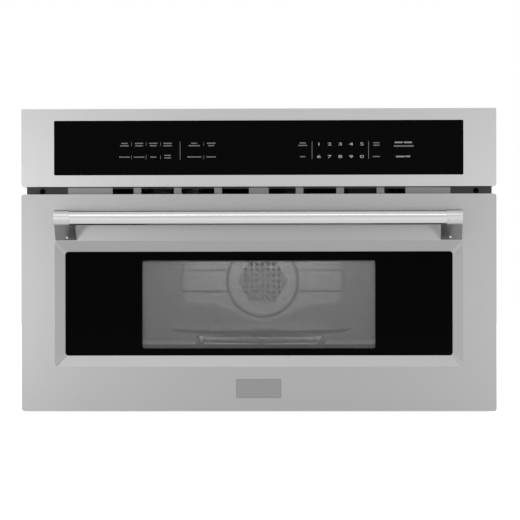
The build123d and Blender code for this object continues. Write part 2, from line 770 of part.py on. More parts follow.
with BuildPart() as waveguide_cover:
    with BuildSketch(Plane.XY.offset(cavity_top)):
        with Locations((guide_x, turn_y)):
            RectangleRounded(guide_width + 2 * mica_lap, guide_depth + 2 * mica_lap, guide_corner)
    extrude(amount=-mica)
save(waveguide_cover, "waveguide_cover")

# Magnetron: a yoke frame around a stack of cooling fins, with the antenna down into the waveguide
yoke_width = 84.0
yoke_depth = 74.0
yoke_height = 62.0
yoke_wall = 2.0
fin_count = 8
core_size = 34.0
fin_sheet = 0.8
fin_inset = 4.0
antenna_length = 24.0
with BuildPart() as magnetron:
    with BuildSketch(facing(antenna_y - yoke_depth / 2)):
        with Locations((guide_x, guide_top + yoke_height / 2)):
            Rectangle(yoke_width, yoke_height)
            Rectangle(yoke_width - 2 * yoke_wall, yoke_height - 2 * yoke_wall, mode=Mode.SUBTRACT)
    extrude(amount=-yoke_depth)
    block((guide_x - core_size / 2, guide_x + core_size / 2),
          (antenna_y - core_size / 2, antenna_y + core_size / 2), (guide_top, guide_top + yoke_height))
    fin_pitch = (yoke_height - 2 * yoke_wall) / (fin_count + 1)
    for fin in range(1, fin_count + 1):
        fin_z = guide_top + yoke_wall + fin * fin_pitch
        block((guide_x - yoke_width / 2 + yoke_wall, guide_x + yoke_width / 2 - yoke_wall),
              (antenna_y - yoke_depth / 2 + fin_inset, antenna_y + yoke_depth / 2 - fin_inset),
              (fin_z - fin_sheet / 2, fin_z + fin_sheet / 2))
    rod((guide_x, antenna_y, guide_top - antenna_length), (0, 0, 1), antenna_dia / 2, antenna_length)
save(magnetron, "magnetron")

# Power transformer: laminated core on feet, with two windings
core_length = 96.0
core_height = 82.0
core_depth = 64.0
core_window_width = 24.0
core_window_height = 51.0
winding_over = 14.0
winding_length = 69.0
winding_height = 21.0
winding_spacing = 26.0
foot_width = 45.0
foot_length = 126.0
foot_thick = 3.0
foot_corner = 5.0
transformer_inset = 134.0
transformer_y = 60.0
transformer_x = inner_half - transformer_inset
with BuildPart() as power_transformer:
    with BuildSketch(Plane.YZ.offset(transformer_x - core_depth / 2)):
        with Locations((transformer_y, shelf_top + core_height / 2)):
            Rectangle(core_length, core_height)
            with GridLocations(core_length / 2, 0, 2, 1):
                Rectangle(core_window_width, core_window_height, mode=Mode.SUBTRACT)
    extrude(amount=core_depth)
    for level in (-1, 1):
        winding_z = shelf_top + (core_height + level * winding_spacing - winding_height) / 2
        with BuildSketch(Plane.XY.offset(winding_z)) as turns:
            with Locations((transformer_x, transformer_y)):
                RectangleRounded(core_depth + 2 * winding_over, winding_length, winding_over)
        extrude(turns.sketch, amount=winding_height)
    with BuildSketch(Plane.XY.offset(shelf_top)) as feet:
        with Locations((transformer_x, transformer_y)):
            RectangleRounded(foot_width, foot_length, foot_corner)
    extrude(feet.sketch, amount=foot_thick)
save(power_transformer, "power_transformer")

# High-voltage capacitor: an oval can with two terminals
can_length = 56.0
can_width = 36.0
can_height = 84.0
terminal_spacing = 22.0
terminal_dia = 10.0
terminal_height = 8.0
capacitor_gap = 130.0
capacitor_x = transformer_x - capacitor_gap
with BuildPart() as capacitor:
    with BuildSketch(Plane.XY.offset(shelf_top)):
        with Locations((capacitor_x, transformer_y)):
            SlotOverall(can_length, can_width)
    extrude(amount=can_height)
    for side in (-1, 1):
        terminal = (capacitor_x + side * terminal_spacing / 2, transformer_y, shelf_top + can_height)
        rod(terminal, (0, 0, 1), terminal_dia / 2, terminal_height)
save(capacitor, "capacitor")

# Blower: a scroll housing that blows out of the rear panel, a bladed drum and its motor
scroll_radius = 50.0
scroll_width = 64.0
scroll_wall = 1.5
outlet_rise = 5.0
inlet_dia = 64.0
drum_dia = 78.0
drum_length = 52.0
drum_blades = 18
blower_shaft_dia = 6.0
blower_z = shelf_top + scroll_radius
blower_set_back = 82.0
blower_y = rear_inner - blower_set_back
blower_motor_dia = 58.0
blower_motor_length = 40.0
blower_motor_gap = 10.0
blower_foot_width = 36.0
blower_foot_inset = 6.0
blower_seat = 12.0
vane_depth = 10.0
vane_thick = 1.0
vane_lean = 35.0
rim_band = 2.0
scroll_left = outlet_x - scroll_width / 2
scroll_right = outlet_x + scroll_width / 2
with BuildPart() as blower_housing:
    for inset, mode in ((0.0, Mode.ADD), (scroll_wall, Mode.SUBTRACT)):
        with BuildSketch(Plane.YZ.offset(scroll_left + inset)) as scroll:
            with Locations((blower_y, blower_z)):
                Circle(scroll_radius - inset)
            outlet_low = blower_z + outlet_rise + inset
            outlet_high = blower_z + scroll_radius - inset
            with Locations(((blower_y + rear_inner) / 2, (outlet_low + outlet_high) / 2)):
                Rectangle(rear_inner - blower_y, outlet_high - outlet_low)
        extrude(scroll.sketch, amount=scroll_width - 2 * inset, mode=mode)
    for inlet in (scroll_left, scroll_right - scroll_wall):
        rod((inlet, blower_y, blower_z), (1, 0, 0), inlet_dia / 2, scroll_wall, Mode.SUBTRACT)
save(blower_housing, "blower_housing")
blower_motor_x = scroll_right + blower_motor_gap
with BuildPart() as blower_wheel:
    drum_left = outlet_x - drum_length / 2
    rod((outlet_x - skin / 2, blower_y, blower_z), (1, 0, 0), drum_dia / 2, skin)
    with BuildSketch(Plane.YZ.offset(drum_left)) as vanes:
        with Locations((blower_y, blower_z)):
            with PolarLocations((drum_dia - vane_depth) / 2, drum_blades):
                Rectangle(vane_depth, vane_thick, rotation=vane_lean)
    extrude(vanes.sketch, amount=drum_length)
    for end in (drum_left, drum_left + drum_length - rim_band):
        with BuildSketch(Plane.YZ.offset(end)) as rim:
            with Locations((blower_y, blower_z)):
                RegularPolygon(drum_dia / 2, 2 * drum_blades)
                RegularPolygon(drum_dia / 2 - vane_depth, 2 * drum_blades, mode=Mode.SUBTRACT)
        extrude(rim.sketch, amount=rim_band)
    rod((outlet_x, blower_y, blower_z), (1, 0, 0), blower_shaft_dia / 2,
        blower_motor_x + blower_seat - outlet_x)
save(blower_wheel, "blower_wheel")
with BuildPart() as blower_motor:
    rod((blower_motor_x, blower_y, blower_z), (1, 0, 0), blower_motor_dia / 2, blower_motor_length)
    chamfer(blower_motor.edges().filter_by(GeomType.CIRCLE), blower_foot_inset / 2)
    block((blower_motor_x + blower_foot_inset, blower_motor_x + blower_motor_length - blower_foot_inset),
          (blower_y - blower_foot_width / 2, blower_y + blower_foot_width / 2), (shelf_top, blower_z))
    rod((blower_motor_x, blower_y, blower_z), (1, 0, 0), blower_shaft_dia / 2 + pin_clear,
        blower_seat + run_clear, Mode.SUBTRACT)
save(blower_motor, "blower_motor")

# Mains side: a bushing in the rear panel and a noise filter on the base pan
bushing_lip = 5.0
bushing_thick = 4.0
bushing_bore = 10.0
filter_width = 80.0
filter_depth = 60.0
filter_set_back = 60.0
filter_post = 6.0
filter_post_inset = 5.0
choke_dia = 30.0
choke_height = 20.0
choke_spacing = 46.0
with BuildPart() as mains_inlet:
    with BuildSketch(facing(rear_inner)):
        with Locations((inlet_x, inlet_z)):
            Rectangle(inlet_width + 2 * bushing_lip, inlet_height + 2 * bushing_lip)
    extrude(amount=bushing_thick)
    with BuildSketch(facing(rear_inner)):
        with Locations((inlet_x, inlet_z)):
            Rectangle(inlet_width - 2 * bar_clear, inlet_height - 2 * bar_clear)
    extrude(amount=-sheet)
    rod((inlet_x, rear_inner - bushing_thick, inlet_z), (0, 1, 0), bushing_bore / 2, bushing_thick + sheet,
        Mode.SUBTRACT)
save(mains_inlet, "mains_inlet")
filter_y = rear_inner - filter_set_back
with BuildPart() as noise_filter:
    with BuildSketch(Plane.XY.offset(pan_top + filter_post)):
        with Locations((inlet_x, filter_y)):
            Rectangle(filter_width, filter_depth)
    extrude(amount=board_thick)
    with BuildSketch(Plane.XY.offset(pan_top)):
        with Locations((inlet_x, filter_y)):
            with GridLocations(filter_width - 2 * filter_post_inset,
                               filter_depth - 2 * filter_post_inset, 2, 2):
                RegularPolygon(filter_post / 2, 6)
    extrude(amount=filter_post)
    with BuildSketch(Plane.XY.offset(pan_top + filter_post + board_thick)):
        with Locations((inlet_x, filter_y)):
            with GridLocations(choke_spacing, 0, 2, 1):
                RegularPolygon(choke_dia / 2, 12)
    extrude(amount=choke_height)
save(noise_filter, "noise_filter")

# Thermostats on the cavity ceiling
thermostat_dia = 16.0
thermostat_flange = 20.0
thermostat_base = 2.0
thermostat_height = 8.0
thermostat_x = 95.0
thermostat_spacing = 110.0
with BuildPart() as thermostats:
    with BuildSketch(Plane.XY.offset(ceiling_top)):
        with Locations((thermostat_x, turn_y)):
            with GridLocations(thermostat_spacing, 0, 2, 1):
                RegularPolygon(thermostat_flange / 2, 16)
    extrude(amount=thermostat_base)
    with BuildSketch(Plane.XY.offset(ceiling_top + thermostat_base)):
        with Locations((thermostat_x, turn_y)):
            with GridLocations(thermostat_spacing, 0, 2, 1):
                RegularPolygon(thermostat_dia / 2, 16)
    extrude(amount=thermostat_height)
save(thermostats, "thermostats")

# Oven lamp on the right cavity wall: lens, bulb and housing
lamp_wall = 1.5
lamp_length = 36.0
lamp_flange = 3.0
lamp_room = 5.0
lens_thick = 2.0
bulb_dia = 18.0
bulb_neck = 12.0
bulb_length = 26.0
bulb_neck_length = 8.0
bulb_shoulder = 13.0
bulb_crown = 19.5
bulb_tip = 7.0
lamp_out = half_cavity + sheet
lens_dia = lamp_dia - 2 * edge_clear
with BuildPart() as lamp_housing:
    rod((lamp_out, lamp_y, lamp_z), (1, 0, 0), lamp_dia / 2 + lamp_room + lamp_flange, lamp_wall)
    rod((lamp_out, lamp_y, lamp_z), (1, 0, 0), lamp_dia / 2 + lamp_room, lamp_length)
    rod((lamp_out, lamp_y, lamp_z), (1, 0, 0), lamp_dia / 2 + lamp_room - lamp_wall, lamp_length - lamp_wall,
        Mode.SUBTRACT)
save(lamp_housing, "lamp_housing")
with BuildPart() as lamp_lens:
    rod((half_cavity, lamp_y, lamp_z), (1, 0, 0), lens_dia / 2, sheet)
    rod((lamp_out, lamp_y, lamp_z), (1, 0, 0), lamp_dia / 2 + lamp_room - lamp_wall - edge_clear, lens_thick)
save(lamp_lens, "lamp_lens")
bulb_end = lamp_out + lamp_length - lamp_wall
with BuildPart() as lamp_bulb:
    with BuildSketch(Plane((bulb_end, lamp_y, lamp_z), x_dir=(-1, 0, 0), z_dir=(0, 1, 0))):
        with BuildLine():
            Polyline(
                (0, 0),
                (0, bulb_neck / 2),
                (bulb_neck_length, bulb_neck / 2),
                (bulb_shoulder, bulb_dia / 2),
                (bulb_crown, bulb_dia / 2),
                (bulb_length, bulb_tip / 2),
                (bulb_length, 0),
                close=True,
            )
        make_face()
    revolve(axis=Axis((bulb_end, lamp_y, lamp_z), (-1, 0, 0)))
save(lamp_bulb, "lamp_bulb")

# Latch switches behind the front frame, one pocket for each door hook
switch_width = 22.0
switch_height = 54.0
switch_depth = 46.0
hook_thick = 3.0
hook_reach = 26.0
hook_height = 8.0
hook_lip = 5.0
hook_nose = 8.0
pocket_wall = 4.0
switch_corner = 3.0
switch_body_width = 13.0
switch_body_height = 18.0
switch_body_depth = 11.0
with BuildPart() as latch_switches:
    with BuildSketch(facing(frame_back)):
        with Locations((-latch_x, latch_z), (latch_x, latch_z)):
            RectangleRounded(switch_width, switch_height, switch_corner)
    extrude(amount=-switch_depth)
    with BuildSketch(facing(frame_back)):
        with Locations((-latch_x, latch_z), (latch_x, latch_z)):
            Rectangle(switch_width - 2 * pocket_wall, latch_slot_height)
    extrude(amount=pocket_wall - switch_depth, mode=Mode.SUBTRACT)
    with BuildSketch(facing(frame_back + switch_depth)):
        with Locations((0, latch_z)):
            with GridLocations(2 * latch_x, switch_height / 2, 2, 2):
                Rectangle(switch_body_width, switch_body_height)
    extrude(amount=-switch_body_depth)
save(latch_switches, "latch_switches")

# Hinge brackets: an arm from the base pan into the door, round at the pin
heel_length = 76.0
heel_y = toe_y + frame_sheet + arm_clear
with BuildPart() as hinge_brackets:
    for side in (-1, 1):
        with BuildSketch(Plane.YZ.offset(side * arm_inner)):
            with BuildLine():
                Polyline(
                    (pivot_y, pivot_z - arm_half),
                    (heel_y, pivot_z - arm_half),
                    (heel_y, pan_top),
                    (heel_y + heel_length, pan_top),
                    (heel_y + heel_length, upstand_height - 2 * arm_clear),
                    (heel_y + arm_half, upstand_height - 2 * arm_clear),
                    (heel_y, pivot_z + arm_half),
                    (pivot_y, pivot_z + arm_half),
                    close=True,
                )
            make_face()
            with Locations((pivot_y, pivot_z)):
                Circle(arm_half)
                Circle(pin_dia / 2 + pin_clear, mode=Mode.SUBTRACT)
        extrude(amount=side * arm_thick)
save(hinge_brackets, "hinge_brackets")

# Door skin: a folded stainless tray with a bevelled recess around the window
door_mid = door_bottom + door_height / 2
hinge_slot_low = pivot_y - arm_half - 2 * arm_clear
hinge_slot = (arm_inner - arm_clear, arm_outer + arm_clear)
with BuildPart() as door_skin:
    with BuildSketch(facing(front_y)):
        with Locations((0, door_mid)):
            RectangleRounded(face_width, door_height, face_corner)
    extrude(amount=-skin_return)
    with BuildSketch(facing(front_y + skin)):
        with Locations((0, door_mid)):
            RectangleRounded(face_width - 2 * skin, door_height - 2 * skin, face_corner - skin)
    extrude(amount=skin - skin_return, mode=Mode.SUBTRACT)
    for grow, mode in ((skin, Mode.ADD), (0, Mode.SUBTRACT)):
        with BuildSketch(facing(front_y)):
            with Locations((0, window_centre)):
                RectangleRounded(recess_width + 2 * grow, recess_height + 2 * grow, glass_corner)
        with BuildSketch(facing(front_y + recess_depth)):
            with Locations((0, window_centre)):
                RectangleRounded(glass_width + 2 * grow, glass_height + 2 * grow, glass_corner)
        loft(mode=mode)
    for side in (-1, 1):
        slot_x = sorted((side * hinge_slot[0], side * hinge_slot[1]))
        block(slot_x, (hinge_slot_low, front_y + skin_return), (door_bottom, door_bottom + skin),
              Mode.SUBTRACT)
save(door_skin, "door_skin")

# Door glass: one black-bordered pane behind the bevel
with BuildPart() as door_glass:
    with BuildSketch(facing(front_y + recess_depth)):
        with Locations((0, window_centre)):
            RectangleRounded(glass_width + 2 * glass_lap, glass_height + 2 * glass_lap, glass_corner)
    extrude(amount=-glass_thick)
save(door_glass, "door_glass")

# Door screen: the metal screen sheet behind the glass, with a deep drawn rim back to the frame
rim_clear = 2.5
rim_drop = 6.5
rim_width = cavity_width - 2 * rim_clear
rim_height_z = glass_height - 2 * rim_drop
screen_y = front_y + recess_depth + glass_thick
plate_inner = front_y + door_depth - frame_sheet
with BuildPart() as door_screen:
    with BuildSketch(facing(screen_y)):
        with Locations((0, window_centre)):
            RectangleRounded(glass_width + 2 * glass_lap, glass_height + 2 * glass_lap, glass_corner)
    extrude(amount=-screen_sheet)
    with BuildSketch(facing(screen_y + screen_sheet)):
        with Locations((0, window_centre)):
            RectangleRounded(rim_width, rim_height_z, glass_corner)
            RectangleRounded(rim_width - 2 * screen_sheet, rim_height_z - 2 * screen_sheet,
                             glass_corner - screen_sheet, mode=Mode.SUBTRACT)
    extrude(amount=screen_y + screen_sheet - plate_inner)
save(door_screen, "door_screen")

# Door frame: the inner steel pan, with the choke channel around the cavity mouth
frame_front = 24.0
choke_lap = 4.0
choke_width = 16.0
choke_depth = 10.0
window_lap = 20.0
choke_inner_width = cavity_width + 2 * choke_lap
choke_inner_height = cavity_height + 2 * choke_lap
choke_outer_width = choke_inner_width + 2 * choke_width
choke_outer_height = choke_inner_height + 2 * choke_width
choke_mid = cavity_floor_z + cavity_height / 2
door_back = front_y + door_depth
frame_pan_width = face_width - 2 * skin - 2 * nest_clear
frame_pan_height = door_height - 2 * skin - 2 * nest_clear
frame_pan_corner = face_corner - skin - nest_clear
with BuildPart() as door_frame:
    with BuildSketch(facing(front_y + frame_front)):
        with Locations((0, door_mid)):
            RectangleRounded(frame_pan_width, frame_pan_height, frame_pan_corner)
    extrude(amount=frame_front - door_depth)
    with BuildSketch(facing(front_y + frame_front)):
        with Locations((0, door_mid)):
            RectangleRounded(frame_pan_width - 2 * frame_sheet, frame_pan_height - 2 * frame_sheet,
                             frame_pan_corner - frame_sheet)
    extrude(amount=front_y + frame_front - plate_inner, mode=Mode.SUBTRACT)
    for grow, back, mode in ((frame_sheet, plate_inner, Mode.ADD), (0, door_back, Mode.SUBTRACT)):
        with BuildSketch(facing(door_back - choke_depth - grow)):
            with Locations((0, choke_mid)):
                Rectangle(choke_outer_width + 2 * grow, choke_outer_height + 2 * grow)
                Rectangle(choke_inner_width - 2 * grow, choke_inner_height - 2 * grow, mode=Mode.SUBTRACT)
        extrude(amount=door_back - choke_depth - grow - back, mode=mode)
    with BuildSketch(facing(plate_inner)):
        with Locations((0, window_centre)):
            RectangleRounded(rim_width - 2 * window_lap, rim_height_z - window_lap, glass_corner)
    extrude(amount=-frame_sheet, mode=Mode.SUBTRACT)
    for side in (-1, 1):
        slot_x = sorted((side * hinge_slot[0], side * hinge_slot[1]))
        block(slot_x, (hinge_slot_low, door_back), (door_bottom, pivot_z + arm_half + 2 * arm_clear),
              Mode.SUBTRACT)
save(door_frame, "door_frame")

# Inner glass of the window, and the plastic cover that closes the choke channel
inner_glass_thick = 3.0
cover_thick = 2.0
with BuildPart() as door_inner_glass:
    with BuildSketch(facing(plate_inner - inner_glass_thick)):
        with Locations((0, window_centre)):
            RectangleRounded(rim_width - 2 * screen_sheet - 2 * nest_clear,
                             rim_height_z - 2 * screen_sheet - 2 * nest_clear, glass_corner)
    extrude(amount=-inner_glass_thick)
save(door_inner_glass, "door_inner_glass")
with BuildPart() as choke_cover:
    with BuildSketch(facing(door_back - cover_thick)):
        with Locations((0, choke_mid)):
            Rectangle(choke_outer_width - 2 * nest_clear, choke_outer_height - 2 * nest_clear)
            Rectangle(choke_inner_width + 2 * nest_clear, choke_inner_height + 2 * nest_clear,
                      mode=Mode.SUBTRACT)
    extrude(amount=-cover_thick)
save(choke_cover, "choke_cover")

# Handle: a round bar in two end brackets whose undersides slope back to the door
collar_inner = collar_end - collar_width
bar_y = front_y - bar_offset
bar_half = collar_end - end_wall - bar_clear
set_screw_dia = 4.8
set_screw_inset = 15.2
set_screw_back = 9.0
set_screw_length = 6.0
set_screw_sunk = 0.7
set_screw_x = collar_end - set_screw_inset
set_screw_y = front_y - set_screw_back
underside_rise = (bar_centre_z - bar_dia / 2 - foot_low) / bar_offset
set_screw_z = foot_low + set_screw_back * underside_rise
with BuildPart() as handle_bar:
    rod((-bar_half, bar_y, bar_centre_z), (1, 0, 0), bar_dia / 2, 2 * bar_half)
    rod((-bar_half, bar_y, bar_centre_z), (1, 0, 0), bar_dia / 2 - bar_wall, 2 * bar_half, Mode.SUBTRACT)
save(handle_bar, "handle_bar")
for side, name in ((-1, "left"), (1, "right")):
    with BuildPart() as handle_bracket:
        with BuildSketch(facing(front_y)):
            with BuildLine():
                Polyline(
                    (side * (collar_end + foot_out), foot_low),
                    (side * (collar_end + foot_out), foot_high),
                    (side * (collar_inner - foot_in_high), foot_high),
                    (side * (collar_inner - foot_in_low), foot_low),
                    close=True,
                )
            make_face()
        with BuildSketch(facing(bar_y)):
            with BuildLine():
                Polyline(
                    (side * collar_end, bar_centre_z - bar_dia / 2),
                    (side * collar_end, bar_centre_z + bar_dia / 2),
                    (side * (collar_inner - nose_in), bar_centre_z + bar_dia / 2),
                    (side * (collar_inner - nose_in), bar_centre_z - bar_dia / 2),
                    close=True,
                )
            make_face()
        loft(ruled=True)
        rod((side * collar_inner, bar_y, bar_centre_z), (side, 0, 0), collar_dia / 2, collar_width)
        rod((side * (collar_inner - foot_in_high), bar_y, bar_centre_z), (side, 0, 0), bar_dia / 2 + bar_clear,
            collar_width + foot_in_high - end_wall, Mode.SUBTRACT)
        rod((side * set_screw_x, set_screw_y, foot_low), (0, 0, 1), set_screw_dia / 2 + bar_clear,
            set_screw_z - foot_low + set_screw_length, Mode.SUBTRACT)
    save(handle_bracket, f"handle_bracket_{name}")
with BuildPart() as handle_set_screws:
    for side in (-1, 1):
        rod((side * set_screw_x, set_screw_y, set_screw_z - set_screw_sunk), (0, 0, 1), set_screw_dia / 2,
            set_screw_length)
save(handle_set_screws, "handle_set_screws")

# Bare name plate on the lower door
name_plate_width = 72.0
name_plate_height = 30.0
name_plate_z = 39.0
name_plate_thick = 1.0
name_plate_corner = 1.5
with BuildPart() as name_plate:
    with BuildSketch(facing(front_y)):
        with Locations((0, name_plate_z)):
            RectangleRounded(name_plate_width, name_plate_height, name_plate_corner)
    extrude(amount=name_plate_thick)
    chamfer(name_plate.faces().sort_by(Axis.Y)[0].edges(), name_plate_thick / 2)
save(name_plate, "name_plate")

# Hinge clevises and pins inside the door
cheek_nose = 3.0
cheek_lift = 1.0
cheek_rise = 18.0
cheek_front = pivot_y - arm_half - cheek_nose
cheek_low = pivot_z - arm_half + cheek_lift
cheek_high = pivot_z + arm_half + cheek_rise
with BuildPart() as hinge_clevises:
    for side in (-1, 1):
        clevis_x = side * (arm_inner + arm_outer) / 2
        with BuildSketch(facing(cheek_front)):
            with Locations((clevis_x, (cheek_low + cheek_high) / 2)):
                Rectangle(hinge_slot[1] - hinge_slot[0] + 2 * cheek_thick, cheek_high - cheek_low)
            with Locations((clevis_x, (cheek_low + cheek_high) / 2 - cheek_thick)):
                Rectangle(hinge_slot[1] - hinge_slot[0], cheek_high - cheek_low, mode=Mode.SUBTRACT)
        extrude(amount=cheek_front - plate_inner)
        pin_start = side * (hinge_slot[0] - 2 * cheek_thick)
        rod((pin_start, pivot_y, pivot_z), (side, 0, 0), pin_dia / 2 + pin_clear,
            hinge_slot[1] - hinge_slot[0] + 4 * cheek_thick, Mode.SUBTRACT)
save(hinge_clevises, "hinge_clevises")
pin_over = 1.0
with BuildPart() as hinge_pins:
    for side in (-1, 1):
        rod((side * (hinge_slot[0] - cheek_thick - pin_over), pivot_y, pivot_z), (side, 0, 0), pin_dia / 2,
            hinge_slot[1] - hinge_slot[0] + 2 * cheek_thick + 2 * pin_over)
save(hinge_pins, "hinge_pins")

# Latch hooks on the back of the door
foot_plate = 1.2
with BuildPart() as latch_hooks:
    for side in (-1, 1):
        with BuildSketch(Plane.YZ.offset(side * latch_x - hook_thick / 2)) as hook:
            with BuildLine():
                Polyline(
                    (door_back, latch_z - latch_slot_height / 3),
                    (door_back + foot_plate, latch_z - latch_slot_height / 3),
                    (door_back + foot_plate, latch_z - hook_height / 2),
                    (door_back + hook_reach, latch_z - hook_height / 2),
                    (door_back + hook_reach, latch_z + hook_height / 4),
                    (door_back + hook_reach - hook_nose, latch_z + hook_height / 2 + hook_lip),
                    (door_back + hook_reach - hook_nose, latch_z + hook_height / 2),
                    (door_back + foot_plate, latch_z + hook_height / 2),
                    (door_back + foot_plate, latch_z + latch_slot_height / 3),
                    (door_back, latch_z + latch_slot_height / 3),
                    close=True,
                )
            make_face()
        extrude(hook.sketch, amount=hook_thick)
save(latch_hooks, "latch_hooks")
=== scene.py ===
"""Built-in convection microwave: finishes, legends, fasteners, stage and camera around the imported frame."""

import logging
import math
from dataclasses import dataclass, field
from enum import Enum
from typing import Any, Union

import bmesh
import bpy
from mathutils import Matrix, Vector


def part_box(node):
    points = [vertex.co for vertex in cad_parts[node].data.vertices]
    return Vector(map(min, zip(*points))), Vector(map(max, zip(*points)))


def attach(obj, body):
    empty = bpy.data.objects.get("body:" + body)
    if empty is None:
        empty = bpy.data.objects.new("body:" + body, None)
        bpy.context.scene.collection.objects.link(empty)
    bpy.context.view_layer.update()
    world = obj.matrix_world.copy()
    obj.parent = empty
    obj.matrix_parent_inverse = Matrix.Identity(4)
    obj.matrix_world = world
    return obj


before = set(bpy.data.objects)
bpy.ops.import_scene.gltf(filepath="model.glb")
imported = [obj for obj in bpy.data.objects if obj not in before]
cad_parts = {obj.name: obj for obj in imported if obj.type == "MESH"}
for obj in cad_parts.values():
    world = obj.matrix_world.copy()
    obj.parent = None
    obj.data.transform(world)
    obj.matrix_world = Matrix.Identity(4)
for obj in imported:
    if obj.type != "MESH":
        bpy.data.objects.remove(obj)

LOG = logging.getLogger("microwave")
MM = 0.001
FAN_Z = 207.0 * MM
INK_THICK = 0.06 * MM
Colour = tuple[float, float, float]
Number = Union["Socket", float, int]


class Axis(Enum):
    """The direction that a brushed or drawn grain runs along."""

    X = 0
    Y = 1
    Z = 2


class Socket:
    """An output of a shader node that takes part in arithmetic."""

    def __init__(self, tree: "NodeTree", output: bpy.types.NodeSocket) -> None:
        """Keep the tree and the output that later nodes link to."""
        self.tree = tree
        self.output = output

    def maths(self, operation: str, *values: Number, clamp: bool = False) -> "Socket":
        """Add a Math node.

        Args:
            operation: The Math node's operation.
            values: Its inputs in order, numbers or sockets.
            clamp: Whether the result is held between 0 and 1.

        Returns:
            The Math node's result.
        """
        settings = {"operation": operation, "use_clamp": clamp}
        return self.tree.out("ShaderNodeMath", settings, dict(enumerate(values)))

    def __add__(self, other: Number) -> "Socket":
        """Sum."""
        return self.maths("ADD", self, other)

    __radd__ = __add__

    def __sub__(self, other: Number) -> "Socket":
        """Difference."""
        return self.maths("SUBTRACT", self, other)

    def __rsub__(self, other: Number) -> "Socket":
        """Difference from a number."""
        return self.maths("SUBTRACT", other, self)

    def __mul__(self, other: Number) -> "Socket":
        """Product."""
        return self.maths("MULTIPLY", self, other)

    __rmul__ = __mul__

    def __truediv__(self, other: Number) -> "Socket":
        """Quotient."""
        return self.maths("DIVIDE", self, other)

    def __abs__(self) -> "Socket":
        """Size without sign."""
        return self.maths("ABSOLUTE", self)

    def below(self, edge: Number, soft: float) -> "Socket":
        """One where this value is under an edge, fading to zero over a soft band."""
        return self.maths("ADD", (edge - self) / soft, 0.5, clamp=True)

    def larger(self, other: Number) -> "Socket":
        """The larger of two values."""
        return self.maths("MAXIMUM", self, other)

    def root(self) -> "Socket":
        """Square root."""
        return self.maths("SQRT", self)

    def fraction(self) -> "Socket":
        """The part after the whole number."""
        return self.maths("FRACT", self)


class NodeTree:
    """A node tree that is filled by type, settings and inputs."""

    def __init__(self, tree: bpy.types.NodeTree) -> None:
        """Take over a tree and empty it."""
        self.nodes = tree.nodes
        self.links = tree.links
        self.nodes.clear()

    def node(self, kind: str, settings: dict[str, Any] | None = None,
             inputs: dict[str | int, Any] | None = None) -> bpy.types.Node:
        """Add a node, set it up and link it.

        Args:
            kind: The node's type name.
            settings: Properties of the node, set first.
            inputs: Values or sockets for its inputs, by name or index.

        Returns:
            The new node.
        """
        made = self.nodes.new(kind)
        for key, value in (settings or {}).items():
            setattr(made, key, value)
        self.feed(made, inputs or {})
        return made

    def out(self, kind: str, settings: dict[str, Any] | None = None,
            inputs: dict[str | int, Any] | None = None, output: str | int = 0) -> Socket:
        """Add a node and give one of its outputs as a socket."""
        return Socket(self, self.node(kind, settings, inputs).outputs[output])

    def feed(self, node: bpy.types.Node, inputs: dict[str | int, Any]) -> None:
        """Link sockets to a node's inputs, and set plain values on the others."""
        for key, value in inputs.items():
            if isinstance(value, Socket):
                self.links.new(value.output, node.inputs[key])
            else:
                node.inputs[key].default_value = value

    def seen_by_camera(self) -> Socket:
        """One for the rays that leave the camera."""
        return self.out("ShaderNodeLightPath", output="Is Camera Ray")

    def seen_directly(self) -> Socket:
        """One for camera, mirror and see-through rays, zero for the rays that only light things."""
        path = self.node("ShaderNodeLightPath")
        camera, mirror, through = (Socket(self, path.outputs[f"Is {kind} Ray"])
                                   for kind in ("Camera", "Glossy", "Transmission"))
        return camera.larger(mirror).larger(through)


class ShaderTree(NodeTree):
    """A material's node tree with one Principled shader."""

    def __init__(self, name: str) -> None:
        """Start an empty node material with its output and shader."""
        self.material = bpy.data.materials.new(name)
        self.material.use_nodes = True
        super().__init__(self.material.node_tree)
        self.shader = self.node("ShaderNodeBsdfPrincipled")
        output = self.node("ShaderNodeOutputMaterial")
        self.links.new(self.shader.outputs["BSDF"], output.inputs["Surface"])
        self.position = self.out("ShaderNodeTexCoord", output="Object")

    def surface(self, **inputs: Any) -> bpy.types.Material:
        """Feed the Principled shader, with spaces in socket names as underscores, and give the material."""
        self.feed(self.shader, {key.replace("_", " "): value for key, value in inputs.items()})
        return self.material

    def axes(self) -> tuple[Socket, Socket, Socket]:
        """The three object coordinates, in metres."""
        split = self.node("ShaderNodeSeparateXYZ", None, {0: self.position})
        return tuple(Socket(self, split.outputs[index]) for index in range(3))

    def noise(self, scale: Any, detail: float = 2.0, rough: float = 0.5) -> Socket:
        """Noise from 0 to 1 with a number of features a metre, one for all axes or one for each."""
        features = scale if isinstance(scale, tuple) else (scale,) * 3
        stretched = self.out("ShaderNodeMapping", None, {"Vector": self.position, "Scale": features})
        return self.out("ShaderNodeTexNoise", {"noise_dimensions": "3D"},
                        {"Vector": stretched, "Scale": 1.0, "Detail": detail, "Roughness": rough}, "Fac")

    def cells(self, scale: float, randomness: float = 1.0) -> bpy.types.Node:
        """A Voronoi node with that many cells a metre."""
        return self.node("ShaderNodeTexVoronoi", None,
                         {"Vector": self.position, "Scale": scale, "Randomness": randomness})

    def blend(self, factor: Number, low: Any, high: Any) -> Socket:
        """Mix two colours by a factor."""
        inputs = {0: factor, 6: rgba(low), 7: rgba(high)}
        return self.out("ShaderNodeMix", {"data_type": "RGBA"}, inputs, 2)

    def bump(self, height: Socket, distance: float, strength: float = 1.0) -> Socket:
        """A normal raised by a height map, with the distance in metres."""
        inputs = {"Height": height, "Distance": distance, "Strength": strength}
        return self.out("ShaderNodeBump", None, inputs)


def rgba(colour: Any) -> Any:
    """A colour with full alpha; a socket is passed through."""
    if isinstance(colour, Socket) or len(colour) == 4:
        return colour
    return (*colour, 1.0)


